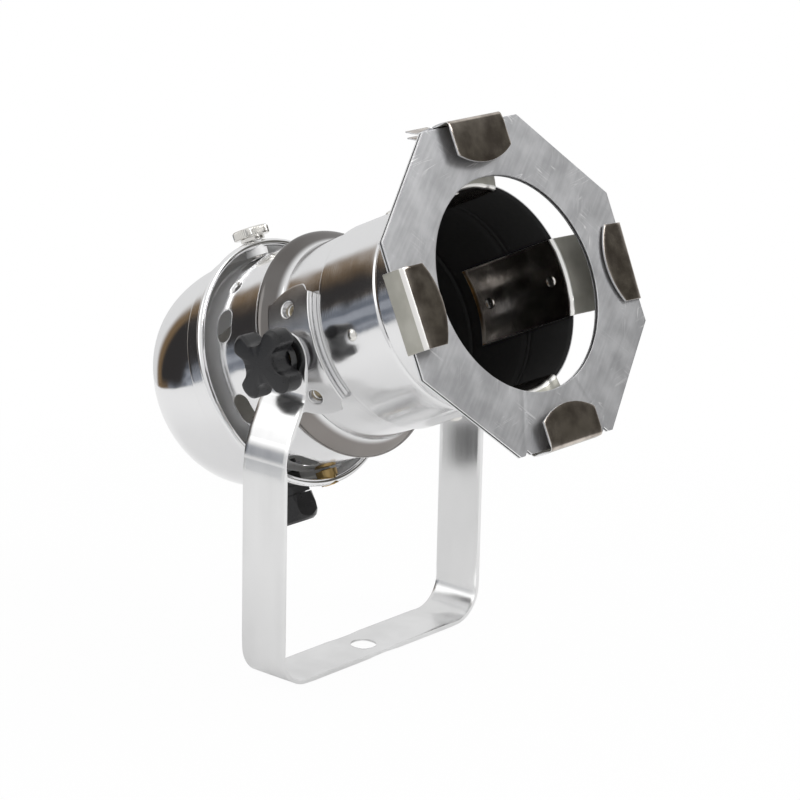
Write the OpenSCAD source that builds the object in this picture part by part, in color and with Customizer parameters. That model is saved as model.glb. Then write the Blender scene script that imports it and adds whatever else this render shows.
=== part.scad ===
// Small polished par can on a flat bar yoke, with an octagonal gel frame.
// Millimetres, +Z up. The origin is the yoke's hanging hole, on the bar's underside.
// The can points to -Y and tilts about X. Every piece on the can is drawn in the can's
// own frame, where Z runs forward along the can, Y is up and 0 is the tilt axis.

/* [Yoke] */
// Height of the tilt axis above the bar's underside
pivot_h = 106.5; // [98:0.5:130]
// Tilt of the can above level, at rest
tilt = 25.2; // [0:0.1:60]
// Width over the yoke's lower arms
yoke_w = 98; // [94:0.5:110]
// Width of the bar
bar_w = 17.7; // [14:0.1:24]
// Thickness of the bar
bar_t = 2.5; // [2:0.1:4]
// Outer radius of the two lower bends
bend_r = 12; // [8:0.5:16]
// Height at which each arm starts to lean inwards
joggle_z = 78; // [70:0.5:84]
// Height over which each arm leans inwards
joggle_h = 17; // [14:0.5:19]
// Radius of the hanging hole
hang_r = 4.25; // [3:0.05:5.5]

/* [Can body] */
// Outer radius of the front tube
tube_r = 33.8; // [32:0.1:36]
// Wall of the spun body
wall = 0.8; // [0.6:0.05:1.1]
// Outer radius of the neck behind the front tube
neck_r = 32.8; // [31:0.1:33.2]
// Outer radius of the rear section
rear_r = 36.1; // [35:0.1:37]
// Height of the bead above the rear section
bead_h = 1.5; // [0.8:0.1:1.8]
// Distance from the tilt axis to the mouth
mouth_s = 57.6; // [54:0.1:62]
// Distance from the tilt axis to the step behind the front tube
step_s = 13.5; // [12.8:0.1:16]
// Distance from the tilt axis to the fine ring on the front tube
ring_s = 38.3; // [34:0.1:42]
// Height of the fine ring
ring_h = 0.25; // [0.15:0.05:0.4]
// Distance behind the tilt axis of the bead's crest
bead_s = 11; // [10:0.1:12]
// Distance behind the tilt axis of the rear edge
rear_s = 38.6; // [37.8:0.1:40]

/* [Vents and dimples] */
// Number of vent slots round the rear section
vents = 8; // [4:1:10]
// Slot width along the can
vent_w = 6.5; // [4:0.1:8]
// Slot length round the can
vent_l = 11; // [7.5:0.1:14]
// Distance behind the tilt axis of the slots' centres
vent_s = 28.9; // [26:0.1:30]
// Angle of the first slot from the top, towards the left
vent_turn = 17.6; // [10:0.1:30]
// Radius of the dimples between the slots
dimple_r = 2.9; // [2:0.1:3.4]
// Radius of the hole in each dimple
dimple_hole_r = 1.1; // [0.6:0.1:1.5]

/* [Gel frame] */
// Width across the flats
frame_w = 102; // [98:0.5:108]
// Sheet thickness of each layer
frame_t = 0.6; // [0.4:0.05:0.8]
// Gap for the gel between the two layers
gel_gap = 0.5; // [0.3:0.05:0.8]
// Radius of the aperture
aperture_r = 34; // [30:0.5:38]
// Distance from the tilt axis to the front face
frame_s = 66.4; // [65.5:0.1:68]
// Turn of the loose frame in its clips, right edge forward
frame_swing = 2.6; // [0:0.1:2.6]
// Lean of the loose frame in its clips, right edge down
frame_lean = 1; // [0:0.1:1]
// Drop of the loose frame in its clips
frame_drop = 0.3; // [0:0.05:0.3]
// Size of the two relief notches beside the fold
notch = 2.2; // [1:0.1:3]
// Half the width of the fold between the notches
fold_half = 17.8; // [16:0.1:19]

/* [Frame clips] */
// Width of each clip
clip_w = 25; // [18:0.5:28]
// Sheet thickness of the clips
clip_t = 0.7; // [0.5:0.05:0.8]
// Clearance between the frame's edge and a clip
clip_gap = 0.6; // [0.6:0.05:1]
// Distance from the tilt axis to a clip lip's front face
lip_s = 69.8; // [69.8:0.1:74]
// Reach of a lip inwards over the frame, at its middle
lip_reach = 12.4; // [10:0.1:15]
// Rise of the lip's arc from its corners to its middle
lip_arc = 3.7; // [2:0.1:5.5]
// Length of the tab inside the tube
tab_l = 39; // [34:0.5:40]
// Rearward lean of each arm at its tube end
arm_lean = 2.9; // [2.5:0.1:4]
// Turn of the right clip from level
right_turn = 3; // [0:0.1:3]
// Distance from the tilt axis to the front rivets
rivet_front_s = 52; // [49:0.1:53]
// Distance from the tilt axis to the rear rivets
rivet_rear_s = 25; // [23:0.1:28]

/* [Frame catch] */
// Radius of the hinge pin
pin_r = 0.7; // [0.5:0.05:0.8]
// Wall rolled round the pin
roll_t = 0.7; // [0.5:0.05:0.75]
// Running clearance on the pin
pin_play = 0.06; // [0.03:0.01:0.1]
// Width of the finger tab
tab_w = 10; // [8:0.5:11]
// Reach of the finger tab behind the pin
tab_reach = 10.4; // [8:0.1:12]
// Drop from the upper leaf of the tab to the lower one
leaf_gap = 2; // [1.6:0.1:2.2]
// Sheet thickness of the leaves
leaf_t = 0.5; // [0.4:0.05:0.7]
// Rise of the leaves' ends
leaf_rise = 2; // [1:0.1:2.5]
// Reach of the catch's lip inwards over the frame, at its middle
catch_reach = 14; // [10:0.1:15]

/* [Side brackets] */
// Outer radius of each bracket's curved plate
plate_r = 36.4; // [36:0.1:36.6]
// Plate thickness
plate_t = 1.2; // [0.8:0.1:1.4]
// Half the height of each plate, rounded at both ends
plate_half = 20.7; // [19:0.1:22]
// Distance from the tilt axis forward to the plate's middle
plate_mid_s = 1.6; // [1:0.1:2]
// Distance from the tilt axis to the plate's front edge
plate_front_s = 10.6; // [9.6:0.1:11]
// Distance behind the tilt axis to the plate's rear edge
plate_rear_s = 7.6; // [6:0.1:7.8]
// Angle from the pivot to each bracket rivet
rivet_angle = 23.2; // [22:0.1:25]
// Radius of the pressed cup round each bracket rivet
cup_r = 2.7; // [2.5:0.05:3]

/* [Pivots and knobs] */
// Radius of the pivot bolts
bolt_r = 2.5; // [2:0.05:3]
// Running clearance on the bolts
bolt_play = 0.08; // [0.03:0.01:0.1]
// Clearance between the bead and the yoke's arms
arm_clear = 0.3; // [0.3:0.05:0.6]
// Clearance on each side of that washer
washer_gap = 0.15; // [0.05:0.05:0.25]
// Radius over the knob's lobes
knob_r = 12.5; // [11:0.1:14]
// Depth of the lobes along the axis
knob_h = 8; // [6:0.1:11]
// Depth of the knob's hub below the lobes
hub_h = 3; // [2:0.1:4]
// Radius of the hub
hub_r = 6.4; // [5.5:0.1:7]

/* [Rear cap] */
// Radius over the rolled rim
rim_r = 41.8; // [41.2:0.1:43]
// Radius of the roll itself
roll_r = 1.25; // [1:0.05:1.5]
// Distance behind the tilt axis of the rim's front
rim_s = 34; // [33.5:0.1:35]
// Outer radius of the cap's bowl
bowl_r = 38.2; // [37.6:0.1:38.8]
// Distance behind the tilt axis of the fine step
cap_step_s = 44; // [42:0.1:46]
// Distance behind the tilt axis of the bowl's shoulder plane
bowl_s = 73; // [72:0.1:78]
// Radius of the shallow end inside the shoulder
end_r = 25; // [18:0.5:28]
// Crown of the end
end_crown = 0.8; // [0.2:0.1:2]
// Distance behind the tilt axis of the two cap screws
screw_s = 37; // [36:0.1:37.4]

/* [Thumbscrew] */
// Radius of the knurled head
head_r = 6; // [5:0.1:7]
// Height of the knurled head
head_h = 3; // [2.5:0.1:4]
// Radius of the collar
collar_r = 4; // [3.5:0.1:4.5]
// Height of the collar
collar_h = 1.8; // [1.4:0.1:3.5]
// Number of knurl grooves
knurls = 36; // [24:1:40]
// Radius of the thread
thread_r = 2; // [1.5:0.1:2.4]

/* [Cable gland] */
// Distance behind the tilt axis of the gland
gland_s = 57.6; // [56:0.1:58.5]
// Radius of the cable hole
cable_r = 3.5; // [2.5:0.1:4]
// Radius over the nut
gland_r = 8.6; // [8.2:0.1:9]
// Depth of the nut
gland_h = 9; // [7:0.1:11]
// Radius of the gland's thread
gland_thread_r = 6; // [5.5:0.1:6.4]

/* [Lamp holder] */
// Outer radius of the ceramic
holder_r = 18.5; // [17:0.1:20]
// Length of the ceramic
holder_l = 36; // [30:0.5:38]
// Radius inside the screw shell
shell_r = 13.3; // [12.5:0.1:13.8]
// Shell thickness
shell_t = 0.5; // [0.4:0.05:0.8]
// Depth of the socket
socket_l = 25; // [20:0.5:27]
// Thickness of the strap that carries the holder
strap_t = 1.5; // [1:0.1:2]
// Spacing of the holder's two screws
holder_pitch = 18; // [14:0.5:20]
// Spacing of its two terminals
terminal_pitch = 23; // [22:0.5:26]

/* [Hidden] */
$fn = 96;
fine = 32;

// Clearances: sheets and seats, rivets and fixed bolts in their holes
seat = 0.08;
rivet_play = 0.05;

inner_arm_x = rear_r + bead_h + arm_clear;
washer_t = inner_arm_x - plate_r - 2*washer_gap;
outer_arm_x = inner_arm_x + bar_t;
knob_x = outer_arm_x + 0.15;
frame_half = frame_w/2;
frame_back_s = frame_s - 2*frame_t - gel_gap;
frame_mid_s = (frame_s + frame_back_s)/2;
wall_in = frame_half + clip_gap;
tab_out_r = tube_r - wall - 0.35;
tab_in_r = tab_out_r - clip_t;
arm_root_s = mouth_s + 0.5;
knuckle_r = pin_r + pin_play + roll_t;
pin_s = frame_back_s - clip_w/2*sin(frame_swing) - knuckle_r - 0.3;
pin_y = wall_in + clip_t - knuckle_r;
cap_in_r = rim_r - 2*roll_r;
skirt_r = cap_in_r + wall;
strap_s = bowl_s - 6;
holder_back_s = strap_s - strap_t - seat;
clip_angles = [0, 90 + right_turn, 180, 270];
hex_r = 4.6;
bolt_head_in = sqrt(pow(neck_r - wall, 2) - hex_r*hex_r) - seat;
clip_shank_r = 1.2;
bracket_shank_r = 1.4;
dent_d = 0.3;
dent_r = 3.6;
dent_ball_r = (dent_r*dent_r + dent_d*dent_d)/(2*dent_d);
head_flat_r = 2.1;
clip_head_s = tube_r - dent_d + head_flat_r*head_flat_r/(2*dent_ball_r) + seat;

// Placement of the can's own frame at its rest tilt
module on_can() translate([0, 0, pivot_h]) rotate([90 - tilt, 0, 0]) children();

// Copy turned to an angle from the top, positive towards the right side
module at_angle(a) rotate([0, 0, -a]) children();

// Points of an arc
function arc(c, r, a0, a1, n) =
    [for (i = [0:n]) let (a = a0 + (a1 - a0)*i/n) [c[0] + r*cos(a), c[1] + r*sin(a)]];

// Unit normal to the left of a step from p to q
function side(p, q) = let (d = q - p) [-d[1], d[0]]/norm(d);

// One corner of a strip's edge, mitred between two steps
function mitre(p, m, n, t) = p + t*(m + n)/(1 + m*n);

// One edge of a bent strip, t to the left of its centre line
function edge(p, t) = [for (i = [0:len(p) - 1])
    i == 0 ? p[0] + t*side(p[0], p[1])
    : i == len(p) - 1 ? p[i] + t*side(p[i - 1], p[i])
    : mitre(p[i], side(p[i - 1], p[i]), side(p[i], p[i + 1]), t)];

// Bent sheet seen edge on: a centre line thickened to t
module strip(p, t) polygon(concat(edge(p, t/2), [for (i = [len(p) - 1:-1:0]) edge(p, -t/2)[i]]));

// Profile drawn as radius against distance forward, turned round the can's axis
module spun() rotate_extrude() children();

// Stadium of length l over all, w wide, along X
module stadium(l, w) {
    square([l - w, w], center = true);
    for (x = [-1, 1]) translate([x*(l - w)/2, 0]) circle(d = w, $fn = fine);
}

// Yoke: flat bar bent to a U, whose arms lean in to the can and end round

// Centre line of one half of the yoke, from the bar's middle to the arm's top
function yoke_line(top) = concat(
    [[0, bar_t/2]],
    arc([yoke_w/2 - bend_r, bend_r], bend_r - bar_t/2, -90, 0, 10),
    [[yoke_w/2 - bar_t/2, joggle_z]],
    [[outer_arm_x - bar_t/2, joggle_z + joggle_h], [outer_arm_x - bar_t/2, top]]);

module yoke_half() intersection() {
    rotate([90, 0, 0]) linear_extrude(bar_w, center = true)
        strip(yoke_line(pivot_h + bar_w/2), bar_t);
    union() {
        translate([0, -bar_w/2, 0]) cube([yoke_w, bar_w, pivot_h]);
        translate([0, 0, pivot_h]) rotate([0, 90, 0]) cylinder(d = bar_w, h = yoke_w);
    }
}

module yoke() color("gainsboro") difference() {
    union() {
        yoke_half();
        mirror([1, 0, 0]) yoke_half();
    }
    translate([0, 0, -1]) cylinder(r = hang_r, h = bar_t + 2);
    translate([0, 0, pivot_h]) rotate([0, 90, 0])
        cylinder(r = bolt_r + bolt_play, h = 2*yoke_w, center = true);
}

// Can body: one spun shell, wide at the back, beaded, necked and opened to the front tube

// Outer outline from the rear edge to the mouth, as radius and distance forward
function body_line(off) = let (bead_r = rear_r + bead_h, b = bead_s) concat(
    [[rear_r - off, -rear_s], [rear_r - off, -b - 3.2]],
    [for (i = [0:6]) let (a = 180*i/6)
        [rear_r - off + bead_h*(1 - cos(a))/2, -b - 3 + 3*i/6]],
    [for (i = [1:10]) let (a = 180*i/10)
        [neck_r - off + (bead_r - neck_r)*(1 + cos(a))/2, -b + 6.5*i/10]],
    [[neck_r - off, step_s - 1.4]],
    [for (i = [0:4]) let (a = 90*i/4)
        [neck_r - off + (tube_r - neck_r)*sin(a), step_s - 1*cos(a)]],
    [[tube_r - off, ring_s - 0.9], [tube_r - off - ring_h, ring_s],
     [tube_r - off, ring_s + 0.9], [tube_r - off, mouth_s]]);

module shell() {
    out = body_line(0);
    inn = body_line(wall);
    spun() polygon(concat(out, [for (i = [len(inn) - 1:-1:0]) inn[i]]));
}

// Radial hole from outside, a from the top and s forward
module radial(a, s) at_angle(a) translate([0, 0, s]) rotate([-90, 0, 0]) children();

// Tube with a dent pressed in round each clip rivet
module dented_shell() difference() {
    union() {
        shell();
        intersection() {
            cylinder(r = tube_r - wall/2, h = mouth_s);
            for (a = clip_angles, s = [rivet_rear_s, rivet_front_s]) radial(a, s)
                translate([0, 0, tube_r - dent_d + dent_ball_r])
                    sphere(r = dent_ball_r + wall, $fn = 128);
        }
    }
    for (a = clip_angles, s = [rivet_rear_s, rivet_front_s]) radial(a, s)
        translate([0, 0, tube_r - dent_d + dent_ball_r]) sphere(r = dent_ball_r, $fn = 128);
}

module can_body() color("silver") on_can() difference() {
    dented_shell();
    for (i = [0:vents - 1]) radial(-vent_turn - 360*i/vents, -vent_s)
        linear_extrude(2*rear_r) stadium(vent_l, vent_w);
    for (i = [0:vents/2 - 1]) radial(-vent_turn - 180/vents - 720*i/vents, -vent_s + 1.5) {
        translate([0, 0, rear_r + dimple_r*1.5 - 0.55]) sphere(r = dimple_r*1.5, $fn = 48);
        cylinder(r = dimple_hole_r, h = 2*rear_r, $fn = fine);
    }
    for (a = clip_angles, s = [rivet_rear_s, rivet_front_s]) radial(a, s)
        cylinder(r = clip_shank_r + rivet_play, h = 2*tube_r, $fn = fine);
    for (a = [-90, 90]) {
        radial(a, 0) cylinder(r = bolt_r + rivet_play, h = 2*tube_r);
        for (b = [-1, 1]) radial(a + b*rivet_angle, plate_mid_s)
            cylinder(r = bracket_shank_r + rivet_play, h = 2*tube_r, $fn = fine);
    }
}

// Rivets: a domed head outside, a shank through the sheets and a set tail inside
module rivet(shank_r, head, head_t, top, grip) {
    translate([0, 0, top]) intersection() {
        translate([0, 0, head_t - 2.2*head]) sphere(r = 2.2*head, $fn = 64);
        cylinder(r = head, h = head_t, $fn = fine);
    }
    translate([0, 0, top - grip]) cylinder(r = shank_r, h = grip + 0.01, $fn = fine);
    translate([0, 0, top - grip - 0.7]) difference() {
        cylinder(r = shank_r*1.5, h = 0.7, $fn = fine);
        translate([0, 0, -0.5]) cylinder(r = shank_r*0.6, h = 1, $fn = fine);
    }
}

// Side brackets: a curved plate off the neck, flanged down to it along its front edge

module bracket_sheet() intersection() {
    spun() polygon([[plate_r - plate_t, -plate_rear_s], [plate_r, -plate_rear_s],
        [plate_r, plate_front_s], [plate_r - 0.4, plate_front_s + 0.5],
        [plate_r - 0.9, plate_front_s + 0.6], [neck_r + seat, plate_front_s + 0.6],
        [neck_r + seat, plate_front_s - 0.5], [plate_r - plate_t, plate_front_s - 0.5]]);
    rotate([0, 90, 0]) translate([-plate_mid_s, 0, 0]) cylinder(r = plate_half, h = 60, $fn = 128);
}

module bracket() difference() {
    union() {
        bracket_sheet();
        for (b = [-1, 1]) cup_frame(b) translate([0, 0, neck_r + seat])
            cylinder(r1 = cup_r + 0.2, r2 = cup_r + 0.8, h = plate_r - plate_t/2 - neck_r, $fn = 48);
    }
    rotate([0, 90, 0]) cylinder(r = bolt_r + rivet_play, h = 60);
    for (b = [-1, 1]) cup_frame(b) {
        cylinder(r = bracket_shank_r + rivet_play, h = 60, $fn = fine);
        translate([0, 0, neck_r + 0.9]) cylinder(r1 = cup_r - 0.5, r2 = cup_r, h = 3.4, $fn = 48);
    }
}

// Centre line of a bracket rivet, above or below the pivot
module cup_frame(b) rotate([0, 0, b*rivet_angle]) rotate([0, 90, 0])
    translate([-plate_mid_s, 0, 0]) children();

module bracket_right() color("silver") on_can() bracket();
module bracket_left() color("silver") on_can() mirror([1, 0, 0]) bracket();

module bracket_rivets() color("lightgray") on_can()
    for (a = [-90, 90], b = [-1, 1]) radial(a + b*rivet_angle, plate_mid_s)
        rivet(bracket_shank_r, cup_r - 0.7, 1.2, neck_r + 0.9 + seat/2, wall + 1.1);

// Pivots: a bolt out of each side of the neck, a spacer inside the bracket, a washer outside

module pivot_bolt() rotate([0, 90, 0]) {
    translate([0, 0, bolt_head_in - 3.2]) cylinder(r = hex_r, h = 3.2, $fn = 6);
    translate([0, 0, bolt_head_in - 1]) cylinder(r = bolt_r, h = bolt_end_x - bolt_head_in + 1);
}
bolt_end_x = knob_x + hub_h + knob_h - 3.5;

module pivot_bolt_right() color("lightgray") on_can() pivot_bolt();
module pivot_bolt_left() color("lightgray") on_can() mirror([1, 0, 0]) pivot_bolt();

module ring(r_in, r_out, x, h) for (m = [0, 1]) mirror([m, 0, 0]) translate([x, 0, 0])
    rotate([0, 90, 0]) difference() {
        cylinder(r = r_out, h = h);
        translate([0, 0, -1]) cylinder(r = r_in, h = h + 2);
    }

// Length of the spacer, whose outer edge clears the curve inside the plate
spacer_r = 4.5;
spacer_l = sqrt(pow(plate_r - plate_t, 2) - spacer_r*spacer_r) - seat/2 - neck_r - seat;

module pivot_spacers() color("lightgray") on_can()
    ring(bolt_r + rivet_play, spacer_r, neck_r + seat, spacer_l);

module pivot_washers() color("lightgray") on_can()
    ring(bolt_r + rivet_play, 6.5, plate_r + washer_gap, washer_t);

// Clamp knobs: four rounded lobes on a hub, with a brass thread insert

module knob_plan() difference() {
    union() {
        circle(r = knob_r*0.62, $fn = 64);
        for (a = [45:90:315]) rotate(a) translate([knob_r*0.68, 0]) {
            circle(r = knob_r*0.32, $fn = 48);
            translate([-knob_r*0.5, -knob_r*0.32]) square([knob_r*0.5, knob_r*0.64]);
        }
    }
    for (a = [0:90:270]) rotate(a) translate([knob_r*0.86, 0]) circle(r = knob_r*0.38, $fn = 64);
}

module knob() translate([knob_x, 0, 0]) rotate([0, 90, 0]) difference() {
    union() {
        cylinder(r1 = hub_r, r2 = hub_r + 0.8, h = hub_h + 0.1);
        translate([0, 0, hub_h]) intersection() {
            linear_extrude(knob_h) knob_plan();
            rotate_extrude() polygon([[0, 0], [knob_r*0.93, 0], [knob_r, 1.2],
                [knob_r, knob_h - 2.4], [knob_r*0.97, knob_h - 1.1],
                [knob_r*0.88, knob_h - 0.3], [0, knob_h]]);
        }
    }
    translate([0, 0, -1]) cylinder(r = insert_r, h = insert_l + 1);
}
insert_r = 3.9;
insert_l = hub_h + knob_h - 2.5;

module knob_insert() translate([knob_x, 0, 0]) rotate([0, 90, 0]) difference() {
    cylinder(r = insert_r, h = insert_l);
    translate([0, 0, -1]) cylinder(r = bolt_r + bolt_play, h = insert_l + 2);
}

module knob_right() color("#222222") on_can() knob();
module knob_left() color("#222222") on_can() mirror([1, 0, 0]) knob();
module knob_insert_right() color("#b08d57") on_can() knob_insert();
module knob_insert_left() color("#b08d57") on_can() mirror([1, 0, 0]) knob_insert();

// Frame clips: a curved tab riveted in the tube, a leaning arm, a side wall and a lip

// Centre line of a clip's arm, wall and lip, as distance forward and radius
function clip_line() = [[arm_root_s - 0.1, tab_out_r - 4],
    [arm_root_s, tab_out_r - clip_t/2],
    [arm_root_s + arm_lean, wall_in - 0.4],
    [arm_root_s + arm_lean + 1.3, wall_in + clip_t/2],
    [lip_s - clip_t*1.1, wall_in + clip_t/2],
    [lip_s - clip_t/2, wall_in - clip_t*0.2],
    [lip_s - clip_t/2, wall_in - lip_reach]];

// Flat sheet bent along a line, clip_w wide, standing on the tube's top
module bent(line, w, t) rotate([0, -90, 0]) linear_extrude(w, center = true) strip(line, t);

// Curved tab that lies against the tube's inside
module clip_tab() intersection() {
    difference() {
        translate([0, 0, arm_root_s - tab_l]) cylinder(r = tab_out_r, h = tab_l + 0.3);
        cylinder(r = tab_in_r, h = 2*arm_root_s);
    }
    translate([-clip_w/2, 0, 0]) cube([clip_w, tube_r, 2*arm_root_s]);
}

// Space inside the arc that ends a lip whose middle reaches in to edge
module lip_trim(edge) {
    arc_r = (pow(clip_w/2, 2) + lip_arc*lip_arc)/(2*lip_arc);
    translate([0, 0, lip_s - 3]) difference() {
        translate([-clip_w, edge - 1, 0]) cube([2*clip_w, lip_arc + 1.2, 6]);
        translate([0, edge + arc_r, -1]) cylinder(r = arc_r, h = 8);
    }
}

module rivet_holes() for (s = [rivet_rear_s, rivet_front_s])
    radial(0, s) cylinder(r = clip_shank_r + rivet_play, h = 2*tube_r, $fn = fine);

// Two small stiffening dents pressed across the bend at the mouth
module bend_dents() for (x = [-1, 1]) translate([x*clip_w*0.32, tab_in_r*0.985, arm_root_s - 0.2])
    rotate([45, 0, 0]) scale(1) cylinder(r = 1.1, h = 3, center = true, $fn = fine);

module clip() difference() {
    union() {
        clip_tab();
        difference() {
            bent(clip_line(), clip_w, clip_t);
            translate([0, 0, -1]) cylinder(r = tab_in_r, h = arm_root_s + 8);
        }
        difference() {
            bend_dents();
            cylinder(r = tab_in_r - 0.9, h = 2*arm_root_s);
            difference() {
                cylinder(r = 2*tube_r, h = mouth_s + seat);
                translate([0, 0, -1]) cylinder(r = tab_out_r, h = 2*arm_root_s);
            }
        }
    }
    lip_trim(wall_in - lip_reach);
    rivet_holes();
}

module clip_right() color("#8c8878") on_can() at_angle(90 + right_turn) clip();
module clip_bottom() color("#8c8878") on_can() at_angle(180) clip();
module clip_left() color("#8c8878") on_can() at_angle(270) clip();

module clip_rivets() color("lightgray") on_can()
    for (a = clip_angles, s = [rivet_rear_s, rivet_front_s]) radial(a, s)
        rivet(clip_shank_r, head_flat_r, 0.9, clip_head_s, clip_head_s - tab_in_r + seat);

// Top clip: the same tab and arm, but rolled round a pin for the hinged catch
arm_split_x = -clip_w/2 + tab_w + 0.3;

module clip_top() color("#8c8878") on_can() difference() {
    union() {
        clip_tab();
        difference() {
            union() {
                bent([clip_line()[0], clip_line()[1], [pin_s - 1.5, pin_y - knuckle_r - 0.2],
                    [pin_s - knuckle_r + roll_t/2, pin_y]], clip_w, clip_t);
                rotate([0, 90, 0]) translate([-pin_s, pin_y, arm_split_x])
                    cylinder(r = knuckle_r, h = clip_w/2 - arm_split_x, $fn = 48);
            }
            translate([0, 0, -1]) cylinder(r = tab_in_r, h = arm_root_s + 8);
            translate([-clip_w, tab_floor_y, 0])
                cube([clip_w + arm_split_x, 2*clip_w, 2*arm_root_s]);
        }
    }
    rotate([0, 90, 0]) translate([-pin_s, pin_y, 0])
        cylinder(r = pin_r, h = 2*clip_w, center = true, $fn = 48);
    rivet_holes();
}
tab_floor_y = pin_y - tab_reach - 2.2;

module catch_pin() color("lightgray") on_can() rotate([0, 90, 0]) translate([-pin_s, pin_y, 0]) {
    cylinder(r = pin_r, h = clip_w + 0.4, center = true, $fn = 48);
    for (m = [0, 1]) mirror([0, 0, m]) translate([0, 0, clip_w/2 + 0.15])
        cylinder(r = pin_r + 0.5, h = 0.5, $fn = 48);
}

// Frame catch: lip and wall in one sheet, rolled round the pin on the left and drawn back
// into a finger tab of two leaves
leaf_line = [[pin_s, pin_y + knuckle_r - leaf_t/2], [pin_s - tab_reach*0.6, pin_y + knuckle_r - 0.4],
    [pin_s - tab_reach, pin_y + knuckle_r - 0.4 + leaf_rise]];

module frame_catch() color("#8c8878") on_can() difference() {
    union() {
        bent([[pin_s + 0.4, wall_in + clip_t/2], [lip_s - clip_t*1.1, wall_in + clip_t/2],
            [lip_s - clip_t/2, wall_in - clip_t*0.2], [lip_s - clip_t/2, wall_in - catch_reach]],
            clip_w, clip_t);
        translate([-clip_w/2 + tab_w/2, 0, 0]) {
            rotate([0, 90, 0]) translate([-pin_s, pin_y, 0])
                cylinder(r = knuckle_r, h = tab_w, center = true, $fn = 48);
            bent(leaf_line, tab_w, leaf_t);
            bent([for (p = leaf_line) p - [0, leaf_gap]], tab_w, leaf_t);
        }
    }
    lip_trim(wall_in - catch_reach);
    translate([arm_split_x - 0.15, 0, pin_s - 3]) cube([clip_w, frame_w, 3 + knuckle_r + 0.15]);
    rotate([0, 90, 0]) translate([-pin_s, pin_y, 0])
        cylinder(r = pin_r + pin_play, h = 2*clip_w, center = true, $fn = 48);
}

// Gel frame: one sheet folded along its bottom edge, with a gap between its layers

module octagon(w) intersection() {
    square(w, center = true);
    rotate(45) square(w, center = true);
}

module frame_layer(s) translate([0, 0, s]) linear_extrude(frame_t) difference() {
    octagon(frame_w);
    circle(r = aperture_r);
    for (x = [-1, 1]) translate([x*fold_half, -frame_half]) rotate(45) square(notch, center = true);
}

// Place of the frame, which hangs a little askew in its clips
module hung() translate([0, -frame_drop, frame_mid_s]) rotate([0, -frame_swing, -frame_lean])
    translate([0, 0, -frame_mid_s]) children();

module gel_frame() color("#b4b4bc") on_can() hung() {
    frame_layer(frame_s - frame_t);
    frame_layer(frame_back_s);
    translate([-fold_half + notch*0.8, -frame_half, frame_back_s])
        cube([2*fold_half - notch*1.6, frame_t, 2*frame_t + gel_gap]);
}

// Rear cap: a deep spun bowl with a fine step and a rolled rim

// Bowl outline from the step back to the shoulder and the crowned end, less an inset
function bowl_line(off) = concat(
    [[skirt_r - off, -rim_s - roll_r*2], [skirt_r - off - 0.3, -cap_step_s + 1.2],
     [bowl_r - off + 0.3, -cap_step_s]],
    [for (i = [0:16]) let (a = 90*i/16, k = 0.8)
        [end_r + (bowl_r - end_r)*pow(cos(a), k) - off*(1 - i/16*0.6),
         -cap_step_s - (bowl_s - cap_step_s)*pow(sin(a), k)*1 + off*pow(i/16, 2)]],
    [for (i = [1:5]) [(end_r - off*0.4)*(1 - i/5), -bowl_s - end_crown*(1 - pow(1 - i/5, 2)) + off]]);

module rear_cap() color("silver") on_can() difference() {
    union() {
        spun() polygon(concat(bowl_line(0),
            [for (i = [len(bowl_line(0)) - 1:-1:0]) bowl_line(wall)[i]]));
        spun() translate([rim_r - roll_r, -rim_s - roll_r]) circle(r = roll_r, $fn = 48);
        spun() polygon([[cap_in_r, -rim_s - roll_r], [cap_in_r + wall, -rim_s - roll_r],
            [cap_in_r + wall, -rim_s - roll_r*3], [cap_in_r, -rim_s - roll_r*3]]);
    }
    for (a = [0, 180]) radial(a, -screw_s) cylinder(r = bush_r + seat, h = 2*rim_r, $fn = 48);
    radial(180, -gland_s) cylinder(r = gland_thread_r + 0.05, h = 2*rim_r);
    for (x = [-1, 1]) translate([x*strap_rivet_x, 0, -2*bowl_s])
        cylinder(r = 1.5 + rivet_play, h = bowl_s + 4, $fn = fine);
}

// Threaded bushes in the rim, a thumbscrew in the top one and a brass screw below
bush_r = thread_r + 0.9;

module bush() difference() {
    union() {
        translate([0, 0, rear_r + 0.7]) cylinder(r = bush_r + 0.7, h = cap_in_r - rear_r - 1, $fn = 48);
        translate([0, 0, rear_r + 0.7]) cylinder(r = bush_r, h = screw_seat - 0.1 - rear_r - 0.7, $fn = 48);
    }
    cylinder(r = thread_r + 0.05, h = 3*rim_r, $fn = 48);
}

module screw_bush() color("lightgray") on_can() radial(0, -screw_s) bush();
module lower_bush() color("lightgray") on_can() radial(180, -screw_s) bush();
screw_seat = rim_r + 0.1;

module thumbscrew() color("#d8d4c8") on_can() radial(0, -screw_s) {
    translate([0, 0, rear_r + 0.15]) cylinder(r = thread_r, h = screw_seat - rear_r, $fn = 48);
    translate([0, 0, screw_seat]) cylinder(r = collar_r, h = collar_h, $fn = 48);
    translate([0, 0, screw_seat + collar_h]) difference() {
        rotate_extrude() polygon([[0, 0], [head_r - 0.4, 0], [head_r, 0.4], [head_r, head_h - 0.5],
            [head_r - 0.5, head_h], [0, head_h]]);
        for (i = [0:knurls - 1]) rotate(360*i/knurls) translate([head_r + 0.12, 0, -1])
            rotate(45) translate([-0.25, -0.25, 0]) cube([0.5, 0.5, head_h + 2]);
    }
}

module lower_screw() color("#b8923c") on_can() radial(180, -screw_s) {
    translate([0, 0, rear_r + 0.15]) cylinder(r = thread_r, h = screw_seat - rear_r, $fn = 48);
    translate([0, 0, screw_seat]) difference() {
        cylinder(r = 3.4, h = 1.6, $fn = 48);
        translate([-5, -0.4, 0.9]) cube([10, 0.8, 2]);
    }
}

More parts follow.
